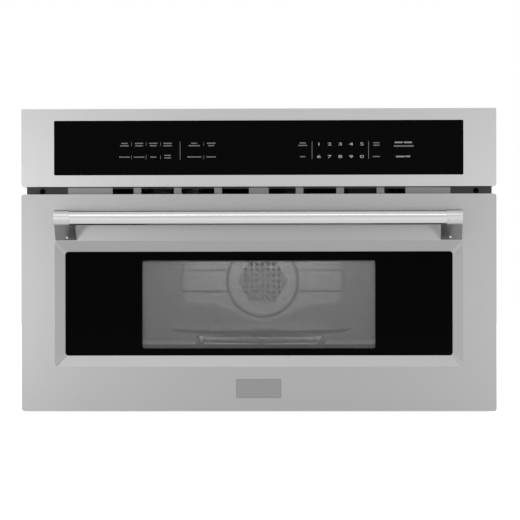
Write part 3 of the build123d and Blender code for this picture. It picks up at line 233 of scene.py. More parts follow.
def scaled(colour: Colour, share: float) -> Colour:
    """A colour made darker or lighter by one share."""
    return tuple(channel * share for channel in colour)


@dataclass(frozen=True)
class BrushedSteel:
    """Stainless sheet or bar with fine brushing along one axis and a slow drift of tone."""

    name: str
    colour: Colour
    roughness: float = 0.34
    grain: Axis = Axis.X
    depth: float = 0.000004
    contrast: float = 0.06

    def material(self) -> bpy.types.Material:
        """Make the material."""
        tree = ShaderTree(self.name)
        fine = tree.noise(self._scale(6.0, 2600.0), 3.0, 0.6)
        coarse = tree.noise(self._scale(2.0, 420.0))
        drift = tree.noise(3.0)
        streak = fine * 0.6 + coarse * 0.4
        dark = scaled(self.colour, 1.0 - self.contrast)
        light = scaled(self.colour, 1.0 + self.contrast)
        tone = tree.blend(streak * 0.75 + drift * 0.25, dark, light)
        rough = streak * 0.10 + drift * 0.05 + (self.roughness - 0.075)
        return tree.surface(Base_Color=tone, Metallic=1.0, Roughness=rough,
                            Normal=tree.bump(streak, self.depth, 0.5))

    def _scale(self, along: float, across: float) -> tuple[float, float, float]:
        """Features a metre along the grain and across it."""
        return tuple(along if axis == self.grain.value else across for axis in range(3))


@dataclass(frozen=True)
class Paint:
    """Sprayed or fired coating with a faint orange-peel and small variations of tone."""

    name: str
    colour: Colour
    roughness: float = 0.45
    peel: float = 0.00002
    speckle: float = 0.15
    sheen: float = 0.5

    def material(self) -> bpy.types.Material:
        """Make the material."""
        tree = ShaderTree(self.name)
        peel = tree.noise(650.0)
        grain = tree.noise(2600.0, 1.0, 0.5)
        drift = tree.noise(9.0, 3.0, 0.55)
        light = scaled(self.colour, 1.0 + self.speckle)
        dark = scaled(self.colour, 1.0 - self.speckle)
        tone = tree.blend(grain * 0.4 + drift * 0.6, dark, light)
        return tree.surface(Base_Color=tone, Roughness=drift * 0.12 + (self.roughness - 0.06),
                            Specular_IOR_Level=self.sheen, Normal=tree.bump(peel, self.peel, 0.5))


@dataclass(frozen=True)
class ZincSheet:
    """Zinc-coated sheet with its crystal spangle and handling marks, bare or with painted shade: black on its
    inner faces.
    """

    name: str
    colour: Colour
    spangle: float = 90.0
    inner_half: float = -1.0
    inner_rear: float = -1.0

    def material(self) -> bpy.types.Material:
        """Make the material."""
        tree = ShaderTree(self.name)
        crystals = tree.cells(self.spangle)
        facet = Socket(tree, crystals.outputs["Color"])
        split = tree.node("ShaderNodeSeparateColor", None, {0: facet})
        level = Socket(tree, split.outputs[0])
        scuff = tree.noise((14.0, 60.0, 14.0), 4.0, 0.6)
        dark = scaled(self.colour, 0.82)
        tone = tree.blend(level * 0.55 + scuff * 0.45, dark, self.colour)
        across, depth, _ = tree.axes()
        # Painted shade: black on the inner faces of the shell, for the dark inside the closed body.
        painted_inner_shade = abs(across).below(self.inner_half, 0.0001) * depth.below(self.inner_rear, 0.0001)
        black = (0.006, 0.006, 0.006)
        return tree.surface(Base_Color=tree.blend(painted_inner_shade, tone, black), Metallic=0.85 - painted_inner_shade * 0.85,
                            Roughness=level * 0.12 + scuff * 0.14 + 0.34,
                            Normal=tree.bump(scuff, 0.00003, 0.4))


@dataclass(frozen=True)
class Plastic:
    """Moulded plastic with a fine spark-eroded grain."""

    name: str
    colour: Colour
    roughness: float = 0.5

    def material(self) -> bpy.types.Material:
        """Make the material."""
        tree = ShaderTree(self.name)
        grain = tree.noise(1800.0)
        flow = tree.noise(25.0)
        pale = tuple(min(1.0, channel * 1.2 + 0.004) for channel in self.colour)
        return tree.surface(Base_Color=tree.blend(flow, self.colour, pale),
                            Roughness=grain * 0.12 + (self.roughness - 0.06),
                            Normal=tree.bump(grain, 0.00001, 0.6))


@dataclass(frozen=True)
class SpeckledEnamel:
    """Fired oven enamel: dark ground with pale flecks."""

    name: str
    colour: Colour
    fleck: Colour
    roughness: float = 0.3

    def material(self) -> bpy.types.Material:
        """Make the material."""
        tree = ShaderTree(self.name)
        distance = Socket(tree, tree.cells(420.0).outputs["Distance"])
        patch = tree.noise(90.0)
        flecks = distance.below(patch * 0.45, 0.12)
        peel = tree.noise(380.0)
        tone = self.shaded(tree, tree.blend(flecks, self.colour, self.fleck))
        return tree.surface(Base_Color=tone, Roughness=patch * 0.14 + (self.roughness - 0.07),
                            Normal=tree.bump(peel, 0.00003, 0.6))

    def shaded(self, tree: ShaderTree, tone: Socket) -> Socket:
        """The tone as it was fired."""
        return tone


@dataclass(frozen=True)
class ShadePaintedEnamel(SpeckledEnamel):
    """Oven enamel with painted shade along its pressings, which the kinds of sheet name."""

    centre_z: float = FAN_Z
    line: float = 4.0 * MM
    shade: float = 0.6

    def shaded(self, tree: ShaderTree, tone: Socket) -> Socket:
        """The tone, with painted shade along the pressings."""
        across, _, height = tree.axes()
        # Blends the tone towards black by the painted shade.
        return tree.blend(self.painted_press_shade(abs(across), height - self.centre_z), tone, (0.004, 0.004, 0.004))

    def painted_press_shade(self, across: Socket, rise: Socket) -> Socket:
        """How much painted shade lies on the enamel.

        Args:
            across: Distance from the middle plane.
            rise: Height above the fan's middle.

        Returns:
            Zero for no painted shade, one for black.
        """
        raise NotImplementedError

    def stroke(self, distance: Socket) -> Socket:
        """A line of painted shade where a distance is zero."""
        return abs(distance).below(self.line / 2, self.line / 4) * self.shade


@dataclass(frozen=True)
class CoverEnamelWithPaintedShade(ShadePaintedEnamel):
    """Fan cover: painted shade along a round bead, and over a six-sided field around the holes."""

    bead_radius: float = 63.5 * MM
    field_half: float = 39.5 * MM
    field_shade: float = 0.48

    def painted_press_shade(self, across: Socket, rise: Socket) -> Socket:
        """Painted shade at the bead and over the field."""
        # Painted shade: a dark ring at the bead, and a darker six-sided field for the dark behind the holes.
        bead = self.stroke((across * across + rise * rise).root() - self.bead_radius)
        slope = across * math.cos(math.pi / 6) + abs(rise) * math.sin(math.pi / 6)
        return bead.larger(slope.larger(abs(rise)).below(self.field_half, 1.5 * MM) * self.field_shade)


@dataclass(frozen=True)
class BackEnamelWithPaintedShade(ShadePaintedEnamel):
    """Cavity back: painted shade along a straight band's edges, and on the wall below a panel that swells
    under the fan.
    """

    band_half: float = 19.0 * MM
    band_reach: float = 146.0 * MM
    panel_half: float = 141.0 * MM
    panel_drop: float = 41.8 * MM
    swell_half: float = 100.0 * MM
    swell_drop: float = 31.6 * MM
    wall_shade: float = 0.42

    def painted_press_shade(self, across: Socket, rise: Socket) -> Socket:
        """Painted shade at the band's edges and on the wall outside the panel."""
        edges = self.stroke(abs(rise) - self.band_half) * across.below(self.band_reach, 1.0 * MM)
        turn = across.maths("MINIMUM", across, self.swell_half) * (math.pi / self.swell_half)
        drop = (turn.maths("COSINE", turn) + 1.0) * (self.swell_drop / 2) + self.panel_drop
        panel = (0.0 - rise).below(drop, 6.0 * MM) * across.below(self.panel_half, 6.0 * MM)
        return edges.larger((1.0 - panel) * self.wall_shade)


@dataclass(frozen=True)
class TintedWindow:
    """Glass pane printed black around a clear window with rounded corners."""

    name: str
    half_width: float
    low: float
    high: float
    corner: float
    clear: float
    border: Colour = (0.0011, 0.0011, 0.0012)
    tint: Colour = (0.02, 0.021, 0.022)

    def material(self) -> bpy.types.Material:
        """Make the material."""
        tree = ShaderTree(self.name)
        across, _, height = tree.axes()
        middle = (self.low + self.high) / 2
        half_height = (self.high - self.low) / 2
        over_x = (abs(across) - (self.half_width - self.corner)).larger(0.0)
        over_z = (abs(height - middle) - (half_height - self.corner)).larger(0.0)
        outside = (over_x * over_x + over_z * over_z).root()
        window = outside.below(self.corner, 0.0012)
        wipe = tree.noise((5.0, 5.0, 2.0), 4.0, 0.6)
        return tree.surface(Base_Color=tree.blend(window, self.border, self.tint),
                            Roughness=wipe * 0.05 + 0.03, Alpha=1.0 - window * self.clear,
                            Specular_IOR_Level=0.02)


@dataclass(frozen=True)
class PrintedGlass:
    """Opaque black control glass with a faint wipe pattern in its gloss."""

    name: str
    colour: Colour
    gloss: float = 0.05

    def material(self) -> bpy.types.Material:
        """Make the material."""
        tree = ShaderTree(self.name)
        wipe = tree.noise((4.0, 4.0, 9.0), 4.0, 0.6)
        print_grain = tree.noise(1500.0, 1.0, 0.5)
        pale = scaled(self.colour, 1.6)
        return tree.surface(Base_Color=tree.blend(print_grain, self.colour, pale),
                            Roughness=wipe * 0.06 + self.gloss, Specular_IOR_Level=0.03)


@dataclass(frozen=True)
class ClearGlass:
    """Thin clear glass, mostly see-through, with faint drawn waves."""

    name: str
    tint: Colour
    opacity: float = 0.16

    def material(self) -> bpy.types.Material:
        """Make the material."""
        tree = ShaderTree(self.name)
        wave = tree.noise(30.0)
        smear = tree.noise(8.0, 3.0, 0.6)
        return tree.surface(Base_Color=tree.blend(smear, self.tint, (0.9, 0.93, 0.93)),
                            Roughness=smear * 0.06 + 0.02, Alpha=smear * 0.05 + (self.opacity - 0.025),
                            Normal=tree.bump(wave, 0.0002, 0.3))


@dataclass(frozen=True)
class PunchedScreen:
    """Grey screen sheet whose window field is punched with a close grid of round holes, with painted light
    that makes it paler towards the top.
    """

    name: str
    colour: Colour
    half_width: float
    low: float
    high: float
    pitch: float = 0.0013
    hole: float = 0.00049

    def material(self) -> bpy.types.Material:
        """Make the material."""
        tree = ShaderTree(self.name)
        across, _, height = tree.axes()
        column = (across / self.pitch).fraction() - 0.5
        row = (height / self.pitch).fraction() - 0.5
        away = (column * column + row * row).root() * self.pitch
        middle = (self.low + self.high) / 2
        half_height = (self.high - self.low) / 2
        inside = abs(across).below(self.half_width, MM) * abs(height - middle).below(half_height, MM)
        hole = away.below(self.hole, 0.00012) * inside
        drift = tree.noise(12.0, 3.0, 0.5)
        # Painted light: the sheet grows paler towards the top of the window field, by height alone.
        shade = (height - self.low) / (self.high - self.low)
        pale = scaled(self.colour, 1.3)
        tone = tree.blend(drift * 0.3 + shade * 0.7, self.colour, pale)
        return tree.surface(Base_Color=tone, Roughness=drift * 0.1 + 0.42, Alpha=1.0 - hole)


@dataclass(frozen=True)
class CircuitBoard:
    """Green solder mask over a pattern of copper tracks."""

    name: str
    mask: Colour
    track: Colour

    def material(self) -> bpy.types.Material:
        """Make the material."""
        tree = ShaderTree(self.name)
        blocks = tree.node("ShaderNodeTexVoronoi", {"distance": "MANHATTAN", "feature": "F2"},
                           {"Vector": tree.position, "Scale": 260.0})
        lines = Socket(tree, blocks.outputs["Distance"])
        band = abs((lines * 3.0).fraction() - 0.5).below(0.14, 0.06)
        grain = tree.noise(900.0, 1.0, 0.5)
        return tree.surface(Base_Color=tree.blend(band, self.mask, self.track),
                            Roughness=grain * 0.12 + 0.3, Normal=tree.bump(band, 0.00004, 0.5))


@dataclass(frozen=True)
class MicaSheet:
    """Pressed mica with layered pearly flakes."""

    name: str
    colour: Colour

    def material(self) -> bpy.types.Material:
        """Make the material."""
        tree = ShaderTree(self.name)
        flakes = Socket(tree, tree.cells(170.0).outputs["Distance"])
        layers = tree.noise(60.0, 4.0, 0.65)
        dark = scaled(self.colour, 0.6)
        return tree.surface(Base_Color=tree.blend(flakes * 0.5 + layers * 0.5, dark, self.colour),
                            Roughness=flakes * 0.2 + 0.25, Normal=tree.bump(layers, 0.00005, 0.6))


@dataclass(frozen=True)
class Laminations:
    """Stacked motor and transformer steel: thin dark sheets edge-on, varnished."""

    name: str
    colour: Colour
    sheets_per_metre: float = 1600.0

    def material(self) -> bpy.types.Material:
        """Make the material."""
        tree = ShaderTree(self.name)
        across, depth, _ = tree.axes()
        phase = (across + depth) * self.sheets_per_metre
        seam = abs(phase.fraction() - 0.5).below(0.16, 0.1)
        varnish = tree.noise(45.0, 4.0, 0.6)
        dark = scaled(self.colour, 0.45)
        tone = tree.blend(seam * 0.5 + varnish * 0.3, self.colour, dark)
        return tree.surface(Base_Color=tone, Metallic=0.7, Roughness=varnish * 0.25 + 0.3,
                            Normal=tree.bump(seam, 0.00002, 0.4))


@dataclass(frozen=True)
class LegendInk:
    """Printed legend ink with the faint mottle of screen printing."""

    name: str
    colour: Colour

    def material(self) -> bpy.types.Material:
        """Make the material."""
        tree = ShaderTree(self.name)
        mottle = tree.noise(2200.0)
        dark = scaled(self.colour, 0.8)
        return tree.surface(Base_Color=tree.blend(mottle, dark, self.colour), Roughness=mottle * 0.1 + 0.5,
                            Specular_IOR_Level=0.1)


class Finish(Enum):
    """Every finish on the appliance."""

    # Painted light: the fascia is a lighter copy of the door's stainless, for the light that falls on it from
    # above.
    FASCIA_PAINTED_LIGHT = BrushedSteel("fascia_stainless_painted_light", (0.445, 0.445, 0.445), 0.36)
    STAINLESS = BrushedSteel("door_stainless", (0.335, 0.335, 0.335), 0.36)
    HANDLE = BrushedSteel("handle_stainless", (0.55, 0.55, 0.55), 0.17, depth=0.000002)
    BRACKET = BrushedSteel("bracket_satin_steel", (0.50, 0.50, 0.50), 0.34, Axis.Z)
    NAME_PLATE = BrushedSteel("bare_plate_steel", (0.246, 0.246, 0.246), 0.30, Axis.Z, contrast=0.1)
    BRIGHT_STEEL = BrushedSteel("bright_plated_steel", (0.72, 0.72, 0.70), 0.2, Axis.Y)
    ALUMINIUM = BrushedSteel("bare_aluminium", (0.70, 0.71, 0.72), 0.4, Axis.Z)
    ZINC = ZincSheet("zinc_chassis_sheet", (0.55, 0.56, 0.56))
    # Painted shade: the shell's inner faces are black.
    SHELL = ZincSheet("zinc_shell_painted_shade_inside", (0.55, 0.56, 0.56), inner_half=324.5 * MM,
                      inner_rear=303.85 * MM)
    ALUMINISED = ZincSheet("aluminised_hot_air_sheet", (0.50, 0.50, 0.49), 140.0)
    # Painted shade: the grille is a darker copy of satin steel, for the shade in the gap under the fascia.
    GRILLE_PAINTED_SHADE = BrushedSteel("grille_steel_painted_shade", (0.27, 0.27, 0.27), 0.42)
    FRAME_PAINT = Paint("frame_dark_paint", (0.044, 0.044, 0.045), 0.42)
    BLACK_OXIDE = Paint("black_oxide_screws", (0.004, 0.004, 0.004), 0.5, sheen=0.05)
    DOOR_ENAMEL = Paint("door_inner_enamel", (0.045, 0.046, 0.048), 0.3)
    CAVITY = SpeckledEnamel("cavity_enamel", (0.16, 0.162, 0.166), (0.42, 0.42, 0.42))
    # The cavity back and the fan cover carry painted shade along their pressings.
    CAVITY_BACK = BackEnamelWithPaintedShade("cavity_back_enamel_painted_shade", (0.16, 0.162, 0.166), (0.42, 0.42, 0.42))
    COVER_ENAMEL = CoverEnamelWithPaintedShade("fan_cover_enamel_painted_shade", (0.16, 0.162, 0.166), (0.42, 0.42, 0.42), line=5.5 * MM,
                               shade=0.7)
    HOT_AIR_ENAMEL = Paint("hot_air_pale_enamel", (0.45, 0.45, 0.45), 0.6, sheen=0.2)
    FAN_ENAMEL = Paint("fan_grey_enamel", (0.17, 0.17, 0.17), 0.6, sheen=0.2)
    CONTROL_GLASS = PrintedGlass("control_black_glass", (0.0009, 0.0009, 0.001))
    CLEAR_GLASS = ClearGlass("clear_tempered_glass", (0.42, 0.45, 0.44), 0.07)
    TURNTABLE_GLASS = ClearGlass("turntable_glass", (0.45, 0.46, 0.46), 0.036)
    LAMP_GLASS = ClearGlass("lamp_lens_glass", (0.75, 0.75, 0.70), 0.3)
    BLACK_PLASTIC = Plastic("black_moulded_plastic", (0.012, 0.012, 0.013))
    GREY_PLASTIC = Plastic("grey_moulded_plastic", (0.18, 0.18, 0.18), 0.55)
    BOARD = CircuitBoard("control_board_mask", (0.012, 0.10, 0.035), (0.05, 0.22, 0.08))
    MICA = MicaSheet("mica_cover", (0.55, 0.48, 0.37))
    LAMINATIONS = Laminations("motor_laminations", (0.14, 0.14, 0.145))
    BRIGHT_INK = LegendInk("legend_white_ink", (0.60, 0.60, 0.60))
    DIM_INK = LegendInk("legend_grey_ink", (0.34, 0.34, 0.34))


class Wardrobe:
    """Makes each finish once and puts it on nodes and pieces."""

    def __init__(self) -> None:
        """Start with nothing made."""
        self.made: dict[Any, bpy.types.Material] = {}

    def material(self, finish: Any) -> bpy.types.Material:
        """The material of a finish, made on first use.

        Args:
            finish: A member of Finish, or a finish with sizes of its own.

        Returns:
            Its material.
        """
        recipe = finish.value if isinstance(finish, Finish) else finish
        if recipe not in self.made:
            self.made[recipe] = recipe.material()
        return self.made[recipe]

    def dress(self, finish: Any, *names: str) -> None:
        """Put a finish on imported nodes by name."""
        material = self.material(finish)
        for name in names:
            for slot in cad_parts[name].material_slots:
                slot.material = material
            LOG.info("dressed %s with %s", name, material.name)


def add_piece(name: str, mesh: bpy.types.Mesh, body: str) -> bpy.types.Object:
    """Add a finished mesh as a piece that rides on a body.

    Args:
        name: The piece's name.
        mesh: Its mesh, placed in the shared frame and with its material set.
        body: The body that it rides on.

    Returns:
        The new object.
    """
    piece = bpy.data.objects.new(name, mesh)
    bpy.context.scene.collection.objects.link(piece)
    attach(piece, body)
    LOG.info("piece %s on %s, %d faces", name, body, len(mesh.polygons))
    return piece


class FieldTree(NodeTree):
    """A Geometry Nodes tree that sets one form on every point of a field."""

    def __init__(self, name: str, inputs: dict[str, float]) -> None:
        """Start a tree with a geometry in and out, named sizes and a material.

        Args:
            name: The tree's name.
            inputs: Named sizes in metres, with their values.
        """
        self.tree = bpy.data.node_groups.new(name, "GeometryNodeTree")
        super().__init__(self.tree)
        self.sizes = inputs
        self._declare("Geometry", "INPUT", "NodeSocketGeometry")
        for size in inputs:
            self._declare(size, "INPUT", "NodeSocketFloat")
        self._declare("Material", "INPUT", "NodeSocketMaterial")
        self._declare("Geometry", "OUTPUT", "NodeSocketGeometry")
        self.entry = self.node("NodeGroupInput")

    def _declare(self, name: str, way: str, kind: str) -> None:
        """Declare a socket of the tree's own."""
        self.tree.interface.new_socket(name, in_out=way, socket_type=kind)

    def size(self, name: str) -> Socket:
        """A named size as a socket."""
        return Socket(self, self.entry.outputs[name])

    def attribute(self, name: str) -> Socket:
        """A vector stored on the field's points."""
        return self.out("GeometryNodeInputNamedAttribute", {"data_type": "FLOAT_VECTOR"}, {"Name": name})

    def close(self, form: Socket, inputs: dict[str, Socket]) -> None:
        """Set the form on the points, make it real and give it the material."""
        places = Socket(self, self.entry.outputs["Geometry"])
        points = self.out("GeometryNodeInstanceOnPoints", None,
                          {"Points": places, "Instance": form, **inputs})
        real = self.out("GeometryNodeRealizeInstances", None, {0: points})
        done = self.out("GeometryNodeSetMaterial", None,
                        {"Geometry": real, "Material": Socket(self, self.entry.outputs["Material"])})
        self.node("NodeGroupOutput", None, {0: done})

    def grow(self, name: str, points: list[Vector], vectors: dict[str, list[Vector]],
             material: bpy.types.Material) -> bpy.types.Mesh:
        """Run the tree on a field of points.

        Args:
            name: The new mesh's name.
            points: Where the form goes, in metres.
            vectors: Named vectors for each point.
            material: The form's material.

        Returns:
            A plain mesh of the whole field.
        """
        field_mesh = bpy.data.meshes.new(f"{name}_field")
        field_mesh.from_pydata(points, [], [])
        for key, values in vectors.items():
            stored = field_mesh.attributes.new(key, "FLOAT_VECTOR", "POINT")
            stored.data.foreach_set("vector", [part for value in values for part in value])
        holder = bpy.data.objects.new(f"{name}_field", field_mesh)
        bpy.context.scene.collection.objects.link(holder)
        modifier = holder.modifiers.new("field", "NODES")
        modifier.node_group = self.tree
        for item in self.tree.interface.items_tree:
            if item.in_out == "INPUT" and item.name in self.sizes:
                modifier[item.identifier] = self.sizes[item.name]
            elif item.in_out == "INPUT" and item.name == "Material":
                modifier[item.identifier] = material
        holder.update_tag()
        evaluated = holder.evaluated_get(bpy.context.evaluated_depsgraph_get())
        mesh = bpy.data.meshes.new_from_object(evaluated)
        mesh.name = name
        holder.modifiers.remove(modifier)
        bpy.data.objects.remove(holder)
        return mesh


@dataclass(frozen=True)
class Fasteners:
    """Pan-head sheet metal screws with a cross recess, set on points that know which way they face."""

    head_radius: float = 3.6 * MM
    head_height: float = 2.2 * MM
    recess_width: float = 0.9 * MM
    crown_share: float = 0.7
    recess_share: float = 1.15

    def tree(self) -> FieldTree:
        """The tree of one screw head on each point."""
        tree = FieldTree("screw_heads", {"Radius": self.head_radius, "Height": self.head_height,
                                         "Recess": self.recess_width})
        radius, height, recess = tree.size("Radius"), tree.size("Height"), tree.size("Recess")
        crown = radius * self.crown_share
        head = tree.out("GeometryNodeMeshCone", {"fill_type": "NGON"},
                        {"Vertices": 20, "Side Segments": 1, "Radius Top": crown, "Radius Bottom": radius,
                         "Depth": height}, "Mesh")
        long = radius * self.recess_share
        lift = tree.out("ShaderNodeCombineXYZ", None, {2: height})
        slotted = tree.node("GeometryNodeMeshBoolean", {"operation": "DIFFERENCE", "solver": "EXACT"},
                            {"Mesh 1": head})
        for sizes in ((long, recess, height), (recess, long, height)):
            bar_size = tree.out("ShaderNodeCombineXYZ", None, dict(enumerate(sizes)))
            bar = tree.out("GeometryNodeMeshCube", None, {"Size": bar_size}, "Mesh")
            cut = tree.out("GeometryNodeTransform", None, {"Geometry": bar, "Translation": lift})
            tree.links.new(cut.output, slotted.inputs["Mesh 2"])
        turn = tree.out("FunctionNodeAlignRotationToVector", {"axis": "Z"}, {"Vector": tree.attribute("out")})
        tree.close(Socket(tree, slotted.outputs["Mesh"]), {"Rotation": turn})
        return tree


@dataclass(frozen=True)
class LegendMarks:
    """Small raised ink marks, each a block of its own size."""

    def tree(self) -> FieldTree:
        """The tree of one ink block on each point."""
        tree = FieldTree("legend_marks", {"Unit": 1.0})
        unit = tree.size("Unit")
        side = tree.out("ShaderNodeCombineXYZ", None, {0: unit, 1: unit, 2: unit})
        block = tree.out("GeometryNodeMeshCube", None, {"Size": side}, "Mesh")
        tree.close(block, {"Scale": tree.attribute("size")})
        return tree


@dataclass
class LegendSheet:
    """Collects ink marks and blank words that lie on the control glass."""

    surface_y: float
    ink_thick: float = INK_THICK
    letter_pitch: float = 1.0 * MM
    points: list[Vector] = field(default_factory=list)
    sizes: list[Vector] = field(default_factory=list)

    def mark(self, x: float, z: float, width: float, height: float) -> None:
        """Add one ink block, sizes in metres."""
        self.points.append(Vector((x, self.surface_y - self.ink_thick / 2, z)))
        self.sizes.append(Vector((width, self.ink_thick, height)))

    def word(self, x: float, z: float, width: float, height: float) -> None:
        """Add a word of blank lettering: a row of short strokes that spell nothing.

        Args:
            x: Middle of the word.
            z: Height of the word's middle.
            width: Length of the word.
            height: Height of a capital.
        """
        count = max(2, round(width / self.letter_pitch))
        for index in range(count):
            place = x - width / 2 + (index + 0.5) * width / count
            stroke = height * (1.0 if index % 3 == 0 else 0.85)
            self.mark(place, z - (height - stroke) / 2, width / count * 0.68, stroke)

    def make(self, name: str, material: bpy.types.Material) -> bpy.types.Mesh:
        """Make all marks into one mesh."""
        return LegendMarks().tree().grow(name, self.points, {"size": self.sizes}, material)


@dataclass
class ControlPanel:
    """Stainless fascia with the black control glass, its legends, carrier and electronics."""

    wardrobe: Wardrobe
    digit_height: float = 4.5 * MM
    digit_stretch: float = 2.15
    digit_rows: tuple[tuple[float, str], ...] = ((429.5, "12345"), (409.5, "67890"))
    digit_columns: tuple[float, ...] = (96.7, 113.8, 130.8, 148.0, 165.3)
    key_columns: tuple[tuple[float, tuple[float, ...], tuple[float, ...]], ...] = (
        (-214.3, (10.6, 13.8), (16.5,)), (-190.7, (13.1, 12.2), (16.9,)), (-168.1, (13.4, 10.8), (9.5,)),
        (-145.1, (13.6, 13.6), (10.4, 10.4)), (-102.5, (9.3, 18.0), (22.6,)), (-75.4, (13.7, 9.8), (15.0,)),
        (71.0, (10.0, 14.1), (8.8,)), (188.4, (10.0, 10.0), (11.4,)))
    main_words: tuple[tuple[float, float, float], ...] = (
        (224.0, 432.0, 12.4), (238.7, 432.0, 13.2), (226.5, 409.4, 13.7), (238.6, 409.7, 7.3))
    separators: tuple[float, ...] = (-203.0, -179.5, -156.5, -87.3)
    dividers: tuple[float, ...] = (-125.1, 85.8, 176.0)
    upper_rows: tuple[float, ...] = (431.4, 427.5)
    lower_row: tuple[float, ...] = (409.5,)
    lower_pair: tuple[float, ...] = (412.1, 408.0)
    word_height: float = 1.9
    long_word: tuple[float, float, float, float] = (232.1, 426.2, 31.4, 2.4)
    main_height: float = 2.6
    separator_rows: tuple[float, ...] = (430.3, 409.2)
    separator_size: tuple[float, float] = (0.42, 6.5)
    divider_row: float = 419.8
    divider_size: tuple[float, float] = (0.6, 28.6)
    figure_extrude: float = 0.02

    def build(self) -> None:
        """Print the legends on the glass."""
        low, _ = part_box("control_glass")
        self.glass_y = low[1]
        self._dim_legends()
        self._bright_legends()
        self._digits()

    def dress(self) -> None:
        """Put the finishes on the panel's nodes."""
        self.wardrobe.dress(Finish.FASCIA_PAINTED_LIGHT, "control_fascia")
        self.wardrobe.dress(Finish.CONTROL_GLASS, "control_glass", "display_module")
        self.wardrobe.dress(Finish.BLACK_PLASTIC, "glass_carrier")
        self.wardrobe.dress(Finish.BOARD, "control_board")

    def _dim_legends(self) -> None:
        """Key names, separators and dividers in grey ink."""
        sheet = LegendSheet(self.glass_y)
        for x, upper, lower in self.key_columns:
            lower_rows = self.lower_pair if len(lower) == 2 else self.lower_row
            for z, width in (*zip(self.upper_rows, upper), *zip(lower_rows, lower)):
                sheet.word(x * MM, z * MM, width * MM, self.word_height * MM)
        sheet.word(*(part * MM for part in self.long_word))
        for x in self.separators:
            for z in self.separator_rows:
                sheet.mark(x * MM, z * MM, *(side * MM for side in self.separator_size))
        for x in self.dividers:
            sheet.mark(x * MM, self.divider_row * MM, *(side * MM for side in self.divider_size))
        mesh = sheet.make("legend_keys", self.wardrobe.material(Finish.DIM_INK))
        add_piece("legend_keys", mesh, "cabinet")

    def _bright_legends(self) -> None:
        """The two main key names in white ink."""
        sheet = LegendSheet(self.glass_y)
        for x, z, width in self.main_words:
            sheet.word(x * MM, z * MM, width * MM, self.main_height * MM)
        mesh = sheet.make("legend_main_keys", self.wardrobe.material(Finish.BRIGHT_INK))
        add_piece("legend_main_keys", mesh, "cabinet")

    def _digits(self) -> None:
        """The number keys, as flat figures."""
        joined = bmesh.new()
        for z, figures in self.digit_rows:
            for x, figure in zip(self.digit_columns, figures):
                self._figure(joined, figure, x * MM, z * MM)
        mesh = bpy.data.meshes.new("legend_digits")
        joined.to_mesh(mesh)
        joined.free()
        mesh.materials.append(self.wardrobe.material(Finish.BRIGHT_INK))
        add_piece("legend_digits", mesh, "cabinet")

    def _figure(self, joined: bmesh.types.BMesh, figure: str, x: float, z: float) -> None:
        """Add one figure, centred and standing on the glass.

        Args:
            joined: The mesh that takes the figure.
            figure: The digit.
            x: Middle of the figure.
            z: Height of its middle.
        """
        curve = bpy.data.curves.new("figure", "FONT")
        curve.body = figure
        curve.extrude = self.figure_extrude
        holder = bpy.data.objects.new("figure", curve)
        bpy.context.scene.collection.objects.link(holder)
        mesh = bpy.data.meshes.new_from_object(holder.evaluated_get(bpy.context.evaluated_depsgraph_get()))
        corners = [vertex.co for vertex in mesh.vertices]
        low = Vector((min(c.x for c in corners), min(c.y for c in corners), 0.0))
        high = Vector((max(c.x for c in corners), max(c.y for c in corners), 0.0))
        scale = self.digit_height / (high.y - low.y)
        middle = (low + high) / 2
        flat = INK_THICK / (2 * self.figure_extrude)
        for vertex in mesh.vertices:
            across, up, out = vertex.co - middle
            depth = (out + self.figure_extrude) * flat
            vertex.co = (x + across * scale * self.digit_stretch, self.glass_y - depth, z + up * scale)
        joined.from_mesh(mesh)
        bpy.data.objects.remove(holder)
        bpy.data.meshes.remove(mesh)
        bpy.data.curves.remove(curve)


